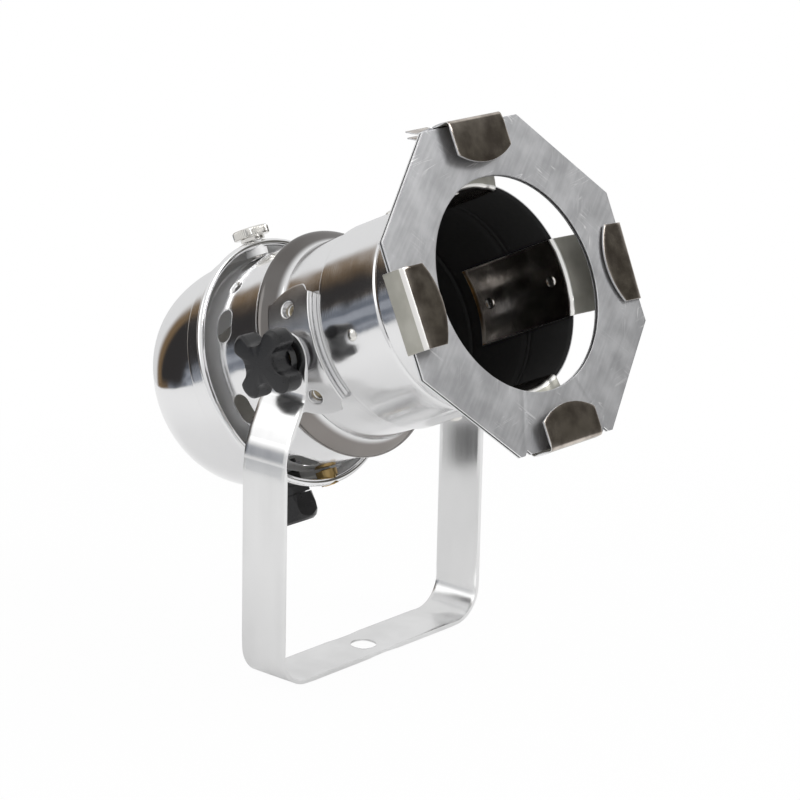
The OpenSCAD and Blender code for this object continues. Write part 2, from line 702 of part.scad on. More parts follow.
// Cable gland under the cap: body, seal, nut and locknut
gland_seat = bowl_r - 2.4;
seal_r = cable_r + 1.1;
nut_bore_l = 4.4;
seal_l = 5.8 + nut_bore_l - 4 - seat;

module gland() radial(180, -gland_s) children();

module gland_body() color("#202022") on_can() gland() difference() {
    union() {
        translate([0, 0, gland_seat - 6]) cylinder(r = gland_thread_r, h = 12);
        translate([0, 0, gland_seat + 2.9]) cylinder(r = gland_r - 0.7, h = 2.6, $fn = 6);
        translate([0, 0, gland_seat + 5]) cylinder(r = gland_thread_r, h = 5);
    }
    translate([0, 0, gland_seat - 8]) cylinder(r = seal_r + rivet_play, h = 30);
}

module gland_seal() color("#303030") on_can() gland() translate([0, 0, gland_seat + 4])
    difference() {
        cylinder(r = seal_r, h = seal_l);
        translate([0, 0, -1]) cylinder(r = cable_r, h = seal_l + 2);
    }

module gland_nut() color("#202022") on_can() gland() translate([0, 0, gland_seat + 5.8])
    difference() {
        intersection() {
            cylinder(r = gland_r, h = gland_h, $fn = 6);
            rotate_extrude() polygon([[0, 0], [gland_r - 0.5, 0], [gland_r, gland_h*0.45],
                [gland_r - 0.2, gland_h*0.7], [gland_r - 1.4, gland_h*0.92],
                [gland_r - 2.6, gland_h], [0, gland_h]]);
        }
        translate([0, 0, -1]) cylinder(r = gland_thread_r + 0.05, h = nut_bore_l + 1);
        cylinder(r = cable_r + 0.6, h = 30);
    }

module gland_locknut() color("lightgray") on_can() gland() translate([0, 0, gland_seat - 4.6])
    difference() {
        cylinder(r = 8, h = 2.4, $fn = 6);
        translate([0, 0, -1]) cylinder(r = gland_thread_r + 0.05, h = 6);
    }

// Lamp holder: ceramic on a strap inside the cap, with a screw shell and a sprung contact
strap_half = 14.5;
strap_w = 12;
foot_x = 20.6;
strap_rivet_x = 17.6;
strap_rise = bowl_s - wall - strap_s;
well_r = 6;
well_l = 3;

module holder_strap() color("lightgray") on_can() translate([0, 0, -strap_s]) difference() {
    union() {
        translate([-strap_half, -strap_w/2, 0]) cube([2*strap_half, strap_w, strap_t]);
        for (m = [0, 1]) mirror([m, 0, 0]) {
            translate([strap_half - strap_t, -strap_w/2, -strap_rise])
                cube([strap_t, strap_w, strap_rise + strap_t]);
            translate([strap_half - strap_t, -strap_w/2, -strap_rise])
                cube([foot_x - strap_half + strap_t, strap_w, strap_t]);
        }
    }
    for (x = [-1, 1]) {
        translate([x*strap_rivet_x, 0, -10]) cylinder(r = 1.5 + rivet_play, h = 20, $fn = fine);
        translate([x*holder_pitch/2, 0, -1]) cylinder(r = 1.5 + rivet_play, h = 4, $fn = fine);
    }
    translate([0, 0, -1]) cylinder(r = 4, h = 4, $fn = fine);
}

module lamp_holder() color("#efece2") on_can() translate([0, 0, -holder_back_s]) difference() {
    union() {
        cylinder(r = holder_r - 1.5, h = 8);
        translate([0, 0, 7]) cylinder(r1 = holder_r - 1.5, r2 = holder_r, h = 3);
        translate([0, 0, 10]) cylinder(r = holder_r, h = holder_l - 12);
        translate([0, 0, holder_l - 2]) cylinder(r1 = holder_r, r2 = holder_r - 1.2, h = 2);
    }
    translate([0, 0, holder_l - socket_l - seat]) cylinder(r = shell_r + shell_t, h = socket_l + 1);
    translate([0, 0, holder_l - socket_l - well_l]) cylinder(r = well_r, h = socket_l);
    for (x = [-1, 1]) {
        translate([x*holder_pitch/2, 0, -1]) cylinder(r = 1.5 + rivet_play, h = 8, $fn = fine);
        translate([0, x*terminal_pitch/2, -1]) cylinder(r = 3.2, h = 5, $fn = fine);
    }
}

module holder_shell() color("#b8923c") on_can()
    translate([0, 0, -holder_back_s + holder_l - socket_l]) difference() {
        cylinder(r = shell_r + shell_t - 0.05, h = socket_l - 2);
        translate([0, 0, shell_t]) cylinder(r = shell_r, h = socket_l);
        translate([0, 0, -1]) cylinder(r = well_r, h = 3);
    }

module holder_contact() color("#b8923c") on_can()
    translate([0, 0, -holder_back_s + holder_l - socket_l - well_l + seat/2]) {
        translate([-3, -4, 0]) cube([6, 8, 0.5]);
        translate([0, 0, 0.4]) cylinder(r1 = 2.6, r2 = 1.8, h = 2.2, $fn = fine);
    }

module holder_screws() color("lightgray") on_can()
    for (x = [-1, 1]) translate([x*holder_pitch/2, 0, -strap_s]) {
        translate([0, 0, -2 - seat]) cylinder(r = 2.8, h = 2, $fn = fine);
        translate([0, 0, -1]) cylinder(r = 1.5, h = 8, $fn = fine);
    }

module terminal_screws() color("#b8923c") on_can()
    for (y = [-1, 1]) translate([0, y*terminal_pitch/2, -holder_back_s + 1.7]) difference() {
        cylinder(r = 3.1, h = 2.2, $fn = fine);
        translate([-4, -0.35, -1]) cube([8, 0.7, 1.8]);
    }

module strap_rivets() color("lightgray") on_can()
    for (x = [-1, 1]) translate([x*strap_rivet_x, 0, 0]) {
        translate([0, 0, -bowl_s - end_crown - 1]) cylinder(r = 2.6, h = 1, $fn = fine);
        translate([0, 0, -bowl_s - end_crown - 0.5])
            cylinder(r = 1.5, h = end_crown + wall + strap_t + 0.5, $fn = fine);
        translate([0, 0, -bowl_s + wall + strap_t + seat/2]) difference() {
            cylinder(r = 2.3, h = 0.8, $fn = fine);
            translate([0, 0, 0.3]) cylinder(r = 0.9, h = 1, $fn = fine);
        }
        translate([0, 0, -bowl_s + wall + strap_t - 0.5]) cylinder(r = 1.5, h = 0.6, $fn = fine);
    }

yoke();
can_body();
bracket_left();
bracket_right();
bracket_rivets();
pivot_bolt_left();
pivot_bolt_right();
pivot_spacers();
pivot_washers();
knob_left();
knob_right();
knob_insert_left();
knob_insert_right();
clip_left();
clip_right();
clip_bottom();
clip_top();
clip_rivets();
frame_catch();
catch_pin();
gel_frame();
rear_cap();
screw_bush();
thumbscrew();
lower_bush();
lower_screw();
gland_body();
gland_seal();
gland_nut();
gland_locknut();
holder_strap();
lamp_holder();
holder_shell();
holder_contact();
holder_screws();
terminal_screws();
strap_rivets();
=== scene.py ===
# %% [markdown]
# # A small par can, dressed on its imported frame
# The object is a stage lantern: a spun and polished aluminium can in a flat bar yoke.
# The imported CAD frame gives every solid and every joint. This lesson gives each piece that
# shows a smooth surface and a finish. A new piece is worked out as whole arrays of points,
# in millimetres, so it lands where its solid is.

# %% Load the frame and keep the CAD box
from math import acos, atan, ceil, cos, pi, radians, sin, sqrt, tan

import bmesh
import bpy
import numpy as np
from mathutils import Matrix, Vector


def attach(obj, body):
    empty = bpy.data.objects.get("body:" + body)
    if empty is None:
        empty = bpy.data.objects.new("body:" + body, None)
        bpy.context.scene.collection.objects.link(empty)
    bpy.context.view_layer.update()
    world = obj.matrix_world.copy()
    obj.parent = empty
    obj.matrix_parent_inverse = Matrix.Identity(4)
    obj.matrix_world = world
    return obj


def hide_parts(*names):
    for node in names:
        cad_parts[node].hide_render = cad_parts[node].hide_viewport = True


join = np.concatenate

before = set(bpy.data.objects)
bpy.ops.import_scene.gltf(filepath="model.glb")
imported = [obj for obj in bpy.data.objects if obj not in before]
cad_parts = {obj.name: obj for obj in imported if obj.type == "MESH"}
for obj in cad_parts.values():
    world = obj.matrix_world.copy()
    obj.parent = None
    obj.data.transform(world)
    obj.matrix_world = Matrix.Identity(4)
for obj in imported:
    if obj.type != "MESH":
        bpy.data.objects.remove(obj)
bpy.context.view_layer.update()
scene = bpy.context.scene
scene.view_settings.view_transform = "Standard"

# %% [markdown]
# ## Sizes and places
# The can has its own frame: a to the right, s forward along the can, b up, all from the
# tilt axis. The pieces could be built level and turned as objects, but an object that is
# turned loses its place in the export. So one function turns can millimetres into the
# metres of the frame, and every point goes through it.

# %% Sizes of the object, in millimetres
MM = 0.001
pivot_h, tilt = 106.5, radians(25.2)
yoke_w, bar_w, bar_t, bend_r, joggle_z, joggle_h, hang_r = 98, 17.7, 2.5, 12, 78, 17, 4.25
tube_r, wall, neck_r, rear_r, bead_h = 33.8, 0.8, 32.8, 36.1, 1.5
mouth_s, step_s, ring_s, ring_h, bead_s, rear_s = 57.6, 13.5, 38.3, 0.25, 11, 38.6
vents, vent_w, vent_l, vent_s, vent_turn = 8, 6.5, 11, 28.9, radians(17.6)
dimple_r, dimple_hole_r = 2.9, 1.1
frame_w, frame_t, gel_gap, aperture_r, frame_s = 102, 0.6, 0.5, 34, 66.4
frame_swing, frame_lean, frame_drop = radians(2.6), radians(1), 0.3
notch, fold_half = 2.2, 17.8
clip_w, clip_t, clip_gap, lip_s, lip_reach, lip_arc, tab_l = 25, 0.7, 0.6, 69.8, 12.4, 3.7, 39
arm_lean, right_turn, rivet_front_s, rivet_rear_s = 2.9, radians(3), 52, 25
pin_r, roll_t, pin_play, tab_w, tab_reach = 0.7, 0.7, 0.06, 10, 10.4
leaf_gap, leaf_t, leaf_rise, catch_reach = 2, 0.5, 2, 14
plate_r, plate_t, plate_half, plate_mid_s = 36.4, 1.2, 20.7, 1.6
plate_front_s, plate_rear_s, rivet_angle, cup_r = 10.6, 7.6, radians(23.2), 2.7
knob_r, knob_h, hub_h, hub_r = 12.5, 8, 3, 6.4
rim_r, roll_r, rim_s, bowl_r, cap_step_s = 41.8, 1.25, 34, 38.2, 44
bowl_s, end_r, end_crown, screw_s = 73, 25, 0.8, 37
head_r, head_h, collar_r, collar_h, knurls, thread_r = 6, 3, 4, 1.3, 56, 2
free_gap, knob_play, tab_gap, root_gap = 0.3, 0.15, 0.35, 0.5

outer_arm_x = rear_r + bead_h + free_gap + bar_t
knob_x = outer_arm_x + knob_play
frame_half, wall_in = frame_w/2, frame_w/2 + clip_gap
frame_back_s = frame_s - 2*frame_t - gel_gap
frame_mid_s = (frame_s + frame_back_s)/2
tab_mid_r = tube_r - wall - tab_gap - clip_t/2
arm_root_s = mouth_s + root_gap
knuckle_r = pin_r + pin_play + roll_t
pin_s = frame_back_s - clip_w/2*sin(frame_swing) - knuckle_r - free_gap
pin_y = wall_in + clip_t - knuckle_r
cap_in_r = rim_r - 2*roll_r
clip_angles = [0, pi/2 + right_turn, pi, -pi/2]
print("pin at", round(pin_s, 2), round(pin_y, 2), "knob at", round(knob_x, 2))

# %% From can millimetres to frame metres
sin_t, cos_t = sin(tilt), cos(tilt)


def metres(x, y, z):
    """Points of the frame, in metres, from millimetres right, back and up."""
    return np.stack(np.broadcast_arrays(x, y, z), -1)*MM


def on_can(a, s, b):
    """Metres of a point a right, s forward, b up on the can.
    Forward leans up by the tilt: y = b sin t - s cos t, z = H + s sin t + b cos t."""
    return metres(a, b*sin_t - s*cos_t, pivot_h + s*sin_t + b*cos_t)


def round_can(angle, radius, s):
    """Metres of a point at an angle from the top towards the right, a radius and an s."""
    return on_can(radius*np.sin(angle), s, radius*np.cos(angle))


def spun(u, v, angle):
    """u and v turned by an angle in their own plane."""
    return u*cos(angle) - v*sin(angle), u*sin(angle) + v*cos(angle)


def radial(angle, s0):
    """A stand for small pieces: x runs forward, y round the can, z straight out of it."""
    def place(x, y, z):
        a, b = spun(y, z, -angle)
        return on_can(a, s0 + x, b)
    return place


can_axis = np.array([0, -cos_t, sin_t])


def from_axis(points):
    """Vectors straight away from the can's axis at some points of the frame."""
    arm = points - np.array([0, 0, pivot_h*MM])
    return arm - (arm @ can_axis)[:, None]*can_axis


def along(*direction):
    """The same vector at any points."""
    return lambda points: np.broadcast_to(np.array(direction, float), points.shape)


# %% [markdown]
# ## Surfaces from arrays
# A piece could be modelled by hand. Here it is a grid of points, rows along a profile and
# columns round or across it, because then one formula sets the whole shape. Sheet metal is
# one surface that the Solidify modifier makes thick, as a press shop starts from sheet.
# Edges get a small bevel, so that they catch the light.

# %% A skin of grids
class Skin:
    """Grids of points that become one mesh."""

    def __init__(self):
        self.points, self.faces, self.marks, self.count = [], [], [], 0

    def grid(self, points, closed=False, mark=0):
        """Adds a grid, rows x columns x 3, whose columns may close on themselves.
        mark is the number of its finish, or one number for each row of faces."""
        rows, columns = points.shape[:2]
        index = np.arange(rows*columns).reshape(rows, columns) + self.count
        if closed:
            index = join([index, index[:, :1]], 1)
        faces = np.stack([index[:-1, :-1], index[:-1, 1:], index[1:, 1:], index[1:, :-1]], -1)
        marks = np.broadcast_to(np.reshape(mark, (-1, 1)), faces.shape[:2])
        self.points.append(points.reshape(-1, 3))
        self.faces.append(faces.reshape(-1, 4))
        self.marks.append(marks.ravel().astype(np.int32))
        self.count += rows*columns
        return self

    def turn(self, profile, place, columns, shape=None):
        """Adds a profile of radius and height, turned round the z of a place. shape makes a
        new radius from the radius and the angle, for lobes and knurls."""
        angle = np.arange(columns)*2*pi/columns
        radius, height = profile[:, :1], profile[:, 1:]
        if shape:
            radius = shape(radius, angle)
        return self.grid(place(radius*np.cos(angle), radius*np.sin(angle), height), closed=True)


# %% A finished piece from a skin
def facing_right(mesh, facing):
    """Turns the mesh round if its faces look against the vectors of facing, area by area."""
    count = len(mesh.polygons)
    centres, normals, areas = np.zeros((count, 3)), np.zeros((count, 3)), np.zeros(count)
    for name, values in (("center", centres), ("normal", normals), ("area", areas)):
        mesh.polygons.foreach_get(name, values.ravel())
    looks = (normals*facing(centres)).sum(1)
    if (looks*areas).sum() < 0:
        mesh.flip_normals()


def placed(name, data):
    """A new object of some data, linked to the scene."""
    thing = bpy.data.objects.new(name, data)
    scene.collection.objects.link(thing)
    return thing


merge_gap, bevel_turn = 3e-6, radians(50)


def piece(name, skin, finishes, body, nodes, facing=None, sheet=0, offset=0,
          inside=0, edge=0, bevel=0, sharp=38, even=True):
    """One mesh object: doubles merged, faces out, a sheet's thickness and bevel applied.
    inside and edge are the steps from a face's finish to that of its back and its rim."""
    mesh = bpy.data.meshes.new(name)
    mesh.from_pydata(join(skin.points).tolist(), [],
                     join(skin.faces).tolist())
    mesh.polygons.foreach_set("material_index", join(skin.marks))
    work = bmesh.new()
    work.from_mesh(mesh)
    bmesh.ops.remove_doubles(work, verts=work.verts, dist=merge_gap)
    bmesh.ops.recalc_face_normals(work, faces=work.faces)
    work.to_mesh(mesh)
    work.free()
    if facing:
        facing_right(mesh, facing)
    for look in finishes:
        mesh.materials.append(look)
    thing = placed(name, mesh)
    if sheet:
        solid = thing.modifiers.new("sheet", "SOLIDIFY")
        solid.thickness, solid.offset = sheet*MM, offset
        solid.use_even_offset, solid.thickness_clamp = even, 1
        solid.material_offset, solid.material_offset_rim = inside, edge
    if bevel:
        soft = thing.modifiers.new("edges", "BEVEL")
        soft.width, soft.segments, soft.limit_method = bevel*MM, 2, "ANGLE"
        soft.angle_limit = bevel_turn
    if sheet or bevel:
        graph = bpy.context.evaluated_depsgraph_get()
        made = bpy.data.meshes.new_from_object(thing.evaluated_get(graph))
        thing.modifiers.clear()
        thing.data = made
    thing.data.polygons.foreach_set("use_smooth", np.ones(len(thing.data.polygons), bool))
    thing.data.set_sharp_from_angle(angle=radians(sharp))
    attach(thing, body)
    if nodes:
        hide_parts(*nodes)
    thing.data.calc_loop_triangles()
    print(name, len(thing.data.loop_triangles), "triangles")
    return thing


# %% Paths with round corners
def rounded(corners, radii, steps=6):
    """A path of straight runs and arcs: at each corner an arc of its radius touches both
    runs at radius times the tangent of half the turn from the corner."""
    corners = [np.array(corner, float) for corner in corners]
    path = [corners[0]]
    for before, at, after, radius in zip(corners, corners[1:], corners[2:], radii):
        u = (at - before)/np.linalg.norm(at - before)
        v = (after - at)/np.linalg.norm(after - at)
        turn = acos(np.clip(u @ v, -1, 1))
        centre = at + (v - u)/np.linalg.norm(v - u)*radius/cos(turn/2)
        start = at - u*radius*tan(turn/2) - centre
        end = at + v*radius*tan(turn/2) - centre
        t = np.linspace(0, 1, steps + 1)[:, None]
        path.extend(centre + (np.sin((1 - t)*turn)*start + np.sin(t*turn)*end)/sin(turn))
    path.append(corners[-1])
    return np.array(path)


def dense(path, gap):
    """The same path with points added along its runs, no more than gap apart."""
    runs = [a + (b - a)*np.linspace(0, 1, max(1, ceil(np.linalg.norm(b - a)/gap)),
                                    endpoint=False)[:, None] for a, b in zip(path, path[1:])]
    return join(runs + [path[-1:]])


def smooth(x):
    """0 to 1 with level ends: x squared times 3 - 2x, with x held between 0 and 1."""
    x = np.clip(x, 0, 1)
    return x*x*(3 - 2*x)

# %% [markdown]
# ## Finishes
# Each finish is a small node tree. It could be wired by hand; a class that wraps a socket
# lets it be written as sums instead. Patterns read Object coordinates, which stay with a
# piece when it moves. Metal gets its life from fine changes of roughness and slight waves,
# because a perfect mirror looks like glass.

# %% Sockets that do sums
class Wire:
    """A socket's value, on which sums can be written."""

    def __init__(self, tree, socket):
        self.tree, self.socket = tree, socket

    def math(self, operation, *values):
        """A Math node of some operation on some values."""
        return self.tree.node("Math", values, operation=operation)

    def __add__(self, other):
        return self.math("ADD", self, other)

    def __sub__(self, other):
        return self.math("SUBTRACT", self, other)

    def __rsub__(self, other):
        return self.math("SUBTRACT", other, self)

    def __mul__(self, other):
        return self.math("MULTIPLY", self, other)

    __radd__, __rmul__ = __add__, __mul__

    def step(self, low, high):
        """0 below low, 1 above high and a soft step between."""
        return self.tree.node("MapRange", (self, low, high), interpolation_type="SMOOTHSTEP")

    def window(self, low, high, soft):
        """1 between low and high, fading over soft on both sides."""
        return self.step(low - soft, low + soft)*(1 - self.step(high - soft, high + soft))


class Tree:
    """A node tree that makes its nodes in one way."""

    def __init__(self, owner):
        owner.use_nodes = True
        self.owner, self.nodes, self.links = owner, owner.node_tree.nodes, owner.node_tree.links
        self.nodes.clear()

    def node(self, kind, values=(), out=0, **settings):
        """Makes a ShaderNode: its settings first, then the values or links of its sockets."""
        made = self.nodes.new("ShaderNode" + kind)
        for key, value in settings.items():
            setattr(made, key, value)
        items = values.items() if isinstance(values, dict) else enumerate(values)
        for key, value in items:
            if isinstance(value, Wire):
                self.links.new(value.socket, made.inputs[key])
            else:
                made.inputs[key].default_value = value
        return Wire(self, made.outputs[out])

    def mix(self, factor, a, b):
        """A colour between a and b."""
        return self.node("Mix", {0: factor, 6: a, 7: b}, 2, data_type="RGBA")

    def mottled(self, noise, low, high):
        """A colour that changes from low to high over the middle values of a noise."""
        return self.mix(noise.step(0.3, 0.7), low, high)

    def place(self):
        """Object coordinates."""
        return self.node("TexCoord", out=3)

    def far_along(self, direction):
        """How far a point lies along a direction, in metres."""
        return self.node("VectorMath", (self.place(), direction), 1, operation="DOT_PRODUCT")

    def noise(self, scale, stretch=(1, 1, 1), detail=3.0, turn=(0, 0, 0)):
        """Noise from 0 to 1, scale cells to the metre, drawn out by the stretch on axes that
        are turned first."""
        spot = self.node("Mapping", {0: self.place(), 2: turn, 3: stretch}, vector_type="TEXTURE")
        return self.node("TexNoise", {"Vector": spot, "Scale": scale, "Detail": detail})

    def bump(self, height, distance, strength=1.0):
        """A normal from a height, distance metres from its lowest to its highest."""
        return self.node("Bump", {"Strength": strength, "Distance": distance, "Height": height})

    def end(self, shader, kind="OutputMaterial"):
        """Sends a shader to the output."""
        self.links.new(shader.socket, self.nodes.new("ShaderNode" + kind).inputs[0])


def grey(level):
    """A neutral colour."""
    return (level, level, level, 1)


def new_finish(name):
    """The empty tree of a new named material."""
    return Tree(bpy.data.materials.new(name))


def finish(tree, base, roughness, normal=None, metallic=1.0, coat=0.0):
    """The tree's material: one Principled shader. base, roughness and normal may be wires."""
    values = {"Base Color": base, "Roughness": roughness, "Metallic": metallic,
              "Coat Weight": coat, "IOR": 1.5}
    if normal is not None:
        values["Normal"] = normal
    tree.end(tree.node("BsdfPrincipled", values))
    return tree.owner


# %% Polished aluminium, spun: soft smudges, faint turning lines, slight waves, a painted dark reflection on the bead
painted_reflection_low, painted_reflection_top = (0.20, 0.18, 0.165, 1), (0.075, 0.065, 0.058, 1)
painted_band_soft, painted_band_turn = 0.0009, 0.03


def polished(name, base, rough_low, rough_high, wave, painted_band=None):
    """Mirror with smudged roughness; lines run round the can, waves are a few mm long.
    painted_band is a run along the can, in metres from the tilt axis, whose colour is darkened as
    a painted reflection of dark surroundings, darkest on top."""
    tree = new_finish(name)
    smudge, waves = tree.noise(38, detail=4.0), tree.noise(90, detail=1.0)
    forward = tree.far_along(tuple(can_axis))
    lines = tree.node("TexNoise", {"W": forward, "Scale": 2600.0, "Detail": 2.0},
                      noise_dimensions="1D")
    rough = rough_low + (rough_high - rough_low)*smudge.step(0.35, 0.75) + 0.03*lines
    if painted_band:
        axis_s, axis_b = pivot_h*MM*sin_t, pivot_h*MM*cos_t
        # Painted reflection: the colour over the bead is darkened, darkest on top, to stand for
        # the dark surroundings it mirrors.
        band = forward.window(painted_band[0] + axis_s, painted_band[1] + axis_s, painted_band_soft)
        above = tree.far_along((0, sin_t, cos_t)).step(axis_b - painted_band_turn, axis_b + painted_band_turn)
        base = tree.mix(band*(0.80 + 0.20*smudge), base, tree.mix(above, painted_reflection_low, painted_reflection_top))
    return finish(tree, base, rough, tree.bump(waves + 0.05*lines, wave))


# The pair at the end is the run over the bead that gets the painted reflection.
polished_body = polished("polished_body", (0.86, 0.86, 0.865, 1), 0.08, 0.19, 0.00014,
                         (-0.0126, -0.0062))
polished_cap = polished("polished_cap", (0.88, 0.88, 0.885, 1), 0.07, 0.18, 0.00008)


# %% Cut edges, the brackets and the two insides
def simple_metal(name, base, rough, grain=600, spread=0.08, depth=0.00001):
    """A metal whose roughness and height follow one fine grain."""
    tree = new_finish(name)
    noise = tree.noise(grain)
    return finish(tree, base, rough - spread/2 + spread*noise, tree.bump(noise, depth))


cut_edge = simple_metal("cut_edge", grey(0.92), 0.34)
bracket_satin = simple_metal("bracket_satin", (0.78, 0.78, 0.785, 1), 0.22, 160, 0.12, 0.00004)
tree = new_finish("inside_cap")
inside_cap = finish(tree, grey(0.90), 0.45 + 0.2*tree.noise(200), None, 0.1)
tree = new_finish("inside_black")
soot = tree.noise(900, detail=4.0)
inside_black = finish(tree, grey(0.016), 0.62 + 0.2*soot, tree.bump(soot, 0.00004, 0.6), 0.0)

# %% [markdown]
# ### Satin bar, brushed frame sheet, plated clips
# The yoke is bar stock with soft streaks along its length. The gel frame is thin sheet with a
# mottled brushed face and fine scratches in three directions. The clips are satin plate, darker
# and tarnished on tab and lip, with a painted highlight on the bend between.

# %% Satin bar
tree = new_finish("satin_bar")
streak, cloud = tree.noise(420, (1, 1, 30)), tree.noise(60, (1, 1, 3))
satin_bar = finish(tree, tree.mottled(cloud, grey(0.79), grey(0.87)),
                   0.14 + 0.08*streak + 0.06*cloud, tree.bump(streak, 0.00002, 0.5))


# %% Brushed and scratched frame sheet
def in_sheet(angle):
    """Turns the z axis to lie in the sheet, at an angle from its middle line: first about x
    by the angle whose tangent is tan(tilt) times cos(angle), then about y by the angle."""
    return (-atan(tan(tilt)*cos(angle)), angle, 0)


def scratches(tree, angle, scale=420, width=0.010, length=90):
    """Thin straight scratches: where a noise drawn out along one line crosses 0.5."""
    field = tree.noise(scale, (1, 1, length), 1.0, in_sheet(angle))
    line = 1 - field.math("ABSOLUTE", field - 0.5).step(0.0, width)
    return line*tree.noise(90, detail=2.0, turn=(angle, 0, 0)).step(0.52, 0.70)


tree = new_finish("brushed_sheet")
mottle, lay = tree.noise(120, detail=5.0), tree.noise(900, (1, 1, 14), 3.0, in_sheet(0.9))
nicks = scratches(tree, 0.5) + scratches(tree, -0.8) + scratches(tree, 1.4)
tone = mottle*0.65 + lay*0.35
brushed = tree.mottled(tone, (0.36, 0.362, 0.372, 1), (0.50, 0.502, 0.512, 1))
brushed_sheet = finish(tree, tree.mix(nicks.step(0.0, 1.0)*0.6, brushed, grey(0.80)),
                       0.42 + 0.12*mottle, tree.bump(tone - 0.4*nicks, 0.00004, 0.7), 0.85)

# %% Plated clips, rivets, screws, brass and the rest
tree = new_finish("plated_lip")
cloud, tarnish = tree.noise(60), tree.noise(150, detail=4.0)
plated_lip = finish(tree, tree.mottled(tarnish, (0.30, 0.26, 0.23, 1), (0.64, 0.58, 0.52, 1)),
                    0.10 + 0.14*cloud, tree.bump(cloud, 0.00022))
tree = new_finish("satin_plate")
haze = tree.noise(140, detail=4.0)
satin_plate = finish(tree, tree.mottled(haze, (0.43, 0.42, 0.37, 1), (0.53, 0.52, 0.465, 1)),
                     0.34 + 0.16*haze, tree.bump(haze, 0.00003), 0.6)
# Painted highlight: a pale, bright finish on the clip bends stands in for the highlight lines that
# light draws on their curves.
bend_painted_highlight = simple_metal("bend_painted_highlight", (0.92, 0.91, 0.88, 1), 0.30, 300, 0.10)
clip_finishes = [satin_plate, plated_lip, bend_painted_highlight, cut_edge]
bright_nickel = simple_metal("bright_nickel", (0.80, 0.785, 0.75, 1), 0.16, 500, 0.08)
dull_rivet = simple_metal("dull_rivet", (0.34, 0.29, 0.20, 1), 0.22, 400, 0.12)
aged_brass = simple_metal("aged_brass", (0.40, 0.28, 0.12, 1), 0.30, 400, 0.12)
zinc_plate = simple_metal("zinc_plate", (0.62, 0.62, 0.64, 1), 0.30, 400, 0.12)
plain_brass = simple_metal("plain_brass", (0.74, 0.53, 0.25, 1), 0.22, 400, 0.10)


def moulded(name, base, rough, depth, coat=0.0):
    """A moulded or fired surface: one plain colour under a very fine skin."""
    tree = new_finish(name)
    skin = tree.noise(1500)
    darker = tuple(c*0.8 for c in base[:3]) + (1,)
    return finish(tree, tree.mix(tree.noise(80, detail=2.0), darker, base), rough + 0.1*skin,
                  tree.bump(skin, depth, 0.5), 0.0, coat)


black_plastic = moulded("black_plastic", (0.013, 0.013, 0.0145, 1), 0.24, 0.00002)
seal_rubber = moulded("seal_rubber", grey(0.012), 0.65, 0.00003)
white_ceramic = moulded("white_ceramic", (0.80, 0.77, 0.70, 1), 0.15, 0.00001, 0.6)
print("finishes", len(bpy.data.materials))

# %% [markdown]
# ## The can
# The real can is spun from one disc of aluminium: a wide rear section with a bead, a neck
# and a front tube. Vents are punched through the rear and dimples pressed between them.
# The slots could be cut by a Boolean, but that leaves ragged shading in a mirror. Here the
# grid itself flows round each slot: the rectangle of faces that holds it is replaced by
# rings that change from the rectangle to the slot.

# %% Outline of the can, from the rear edge to the mouth
bead_rise, bead_fall, step_run, ring_half = 3, 6.5, 1, 0.9


def slope(x):
    """0 to 1 along half a cosine wave, with x held between 0 and 1."""
    return (1 - np.cos(pi*np.clip(x, 0, 1)))/2


def body_radius(s):
    """Radius of the can's outside at s: the rear section, a bead between two cosine slopes,
    the neck, a quarter-round step up to the tube, and a shallow ring round the tube."""
    bead_r, front = rear_r + bead_h, step_s - step_run
    behind = rear_r + bead_h*slope((s + bead_s)/bead_rise + 1)
    ahead = bead_r - (bead_r - neck_r)*slope((s + bead_s)/bead_fall)
    rise = np.sqrt(1 - (1 - np.clip((s - front)/step_run, 0, 1))**2)
    ring = ring_h*smooth(1 - np.abs(s - ring_s)/ring_half)
    tube = neck_r + (tube_r - neck_r)*rise - ring
    return np.where(s < -bead_s, behind, np.where(s < front, ahead, tube))


def runs(*parts):
    """Values along several runs, each given as its end and its count of steps."""
    values = [np.array([parts[0]])]
    for end, count in parts[1:]:
        values.append(np.linspace(values[-1][-1], end, count + 1)[1:])
    return join(values)


band_low, band_high, band_rows = -34.1, -23.7, 16
columns, vent_columns = 288, 22
sector_columns = columns//vents
turn_step = 2*pi/columns
first_angle = -vent_turn - vent_columns/2*turn_step
even_angles = np.arange(columns)*turn_step
dent_depth, dent_reach, dimple_depth, dimple_s = 0.07, 3.2, 0.6, 1.5 - vent_s
crease_x, crease_s, crease_wide, crease_long = -4.6, -1.5, 0.7, 2.6
dents = [(angle, s, dent_depth, dent_reach) for angle in clip_angles
         for s in (rivet_rear_s, rivet_front_s)]
dents += [(2*pi*(k + 0.5)/vents - vent_turn, dimple_s, dimple_depth, dimple_r)
          for k in range(1, vents, 2)]


def body_skin(angle, s, radius):
    """The can's outside less its dents. A dent is depth times cos squared of a quarter turn
    per reach from its middle; beside each clip rivet the sheet also has a faint crease."""
    angle, s, radius = (np.array(v, float) for v in np.broadcast_arrays(angle, s, radius))
    for centre, centre_s, depth, reach in dents:
        x = ((angle - centre + pi) % (2*pi) - pi)*rear_r
        y = s - centre_s
        radius -= depth*np.cos(pi/2*np.minimum(np.hypot(x, y)/reach, 1))**2
        if centre_s > 0:
            radius -= dent_depth*np.exp(-((x - crease_x)/crease_wide)**2
                                        - ((y - crease_s)/crease_long)**2)
    return round_can(angle, radius, s)


# %% Rings that lead from a rectangle of faces to a slot or hole
ring_power, lip_fade = 1.25, 0.35


def round_edge(u, v):
    """The points once round a rectangle whose sides are divided at u and at v."""
    wide, high = len(u) - 1, len(v) - 1
    return (join([u[:-1], np.full(high, u[-1]), u[:0:-1], np.full(high, u[0])]),
            join([np.full(wide, v[0]), v[:-1], np.full(wide, v[-1]), v[:0:-1]]))


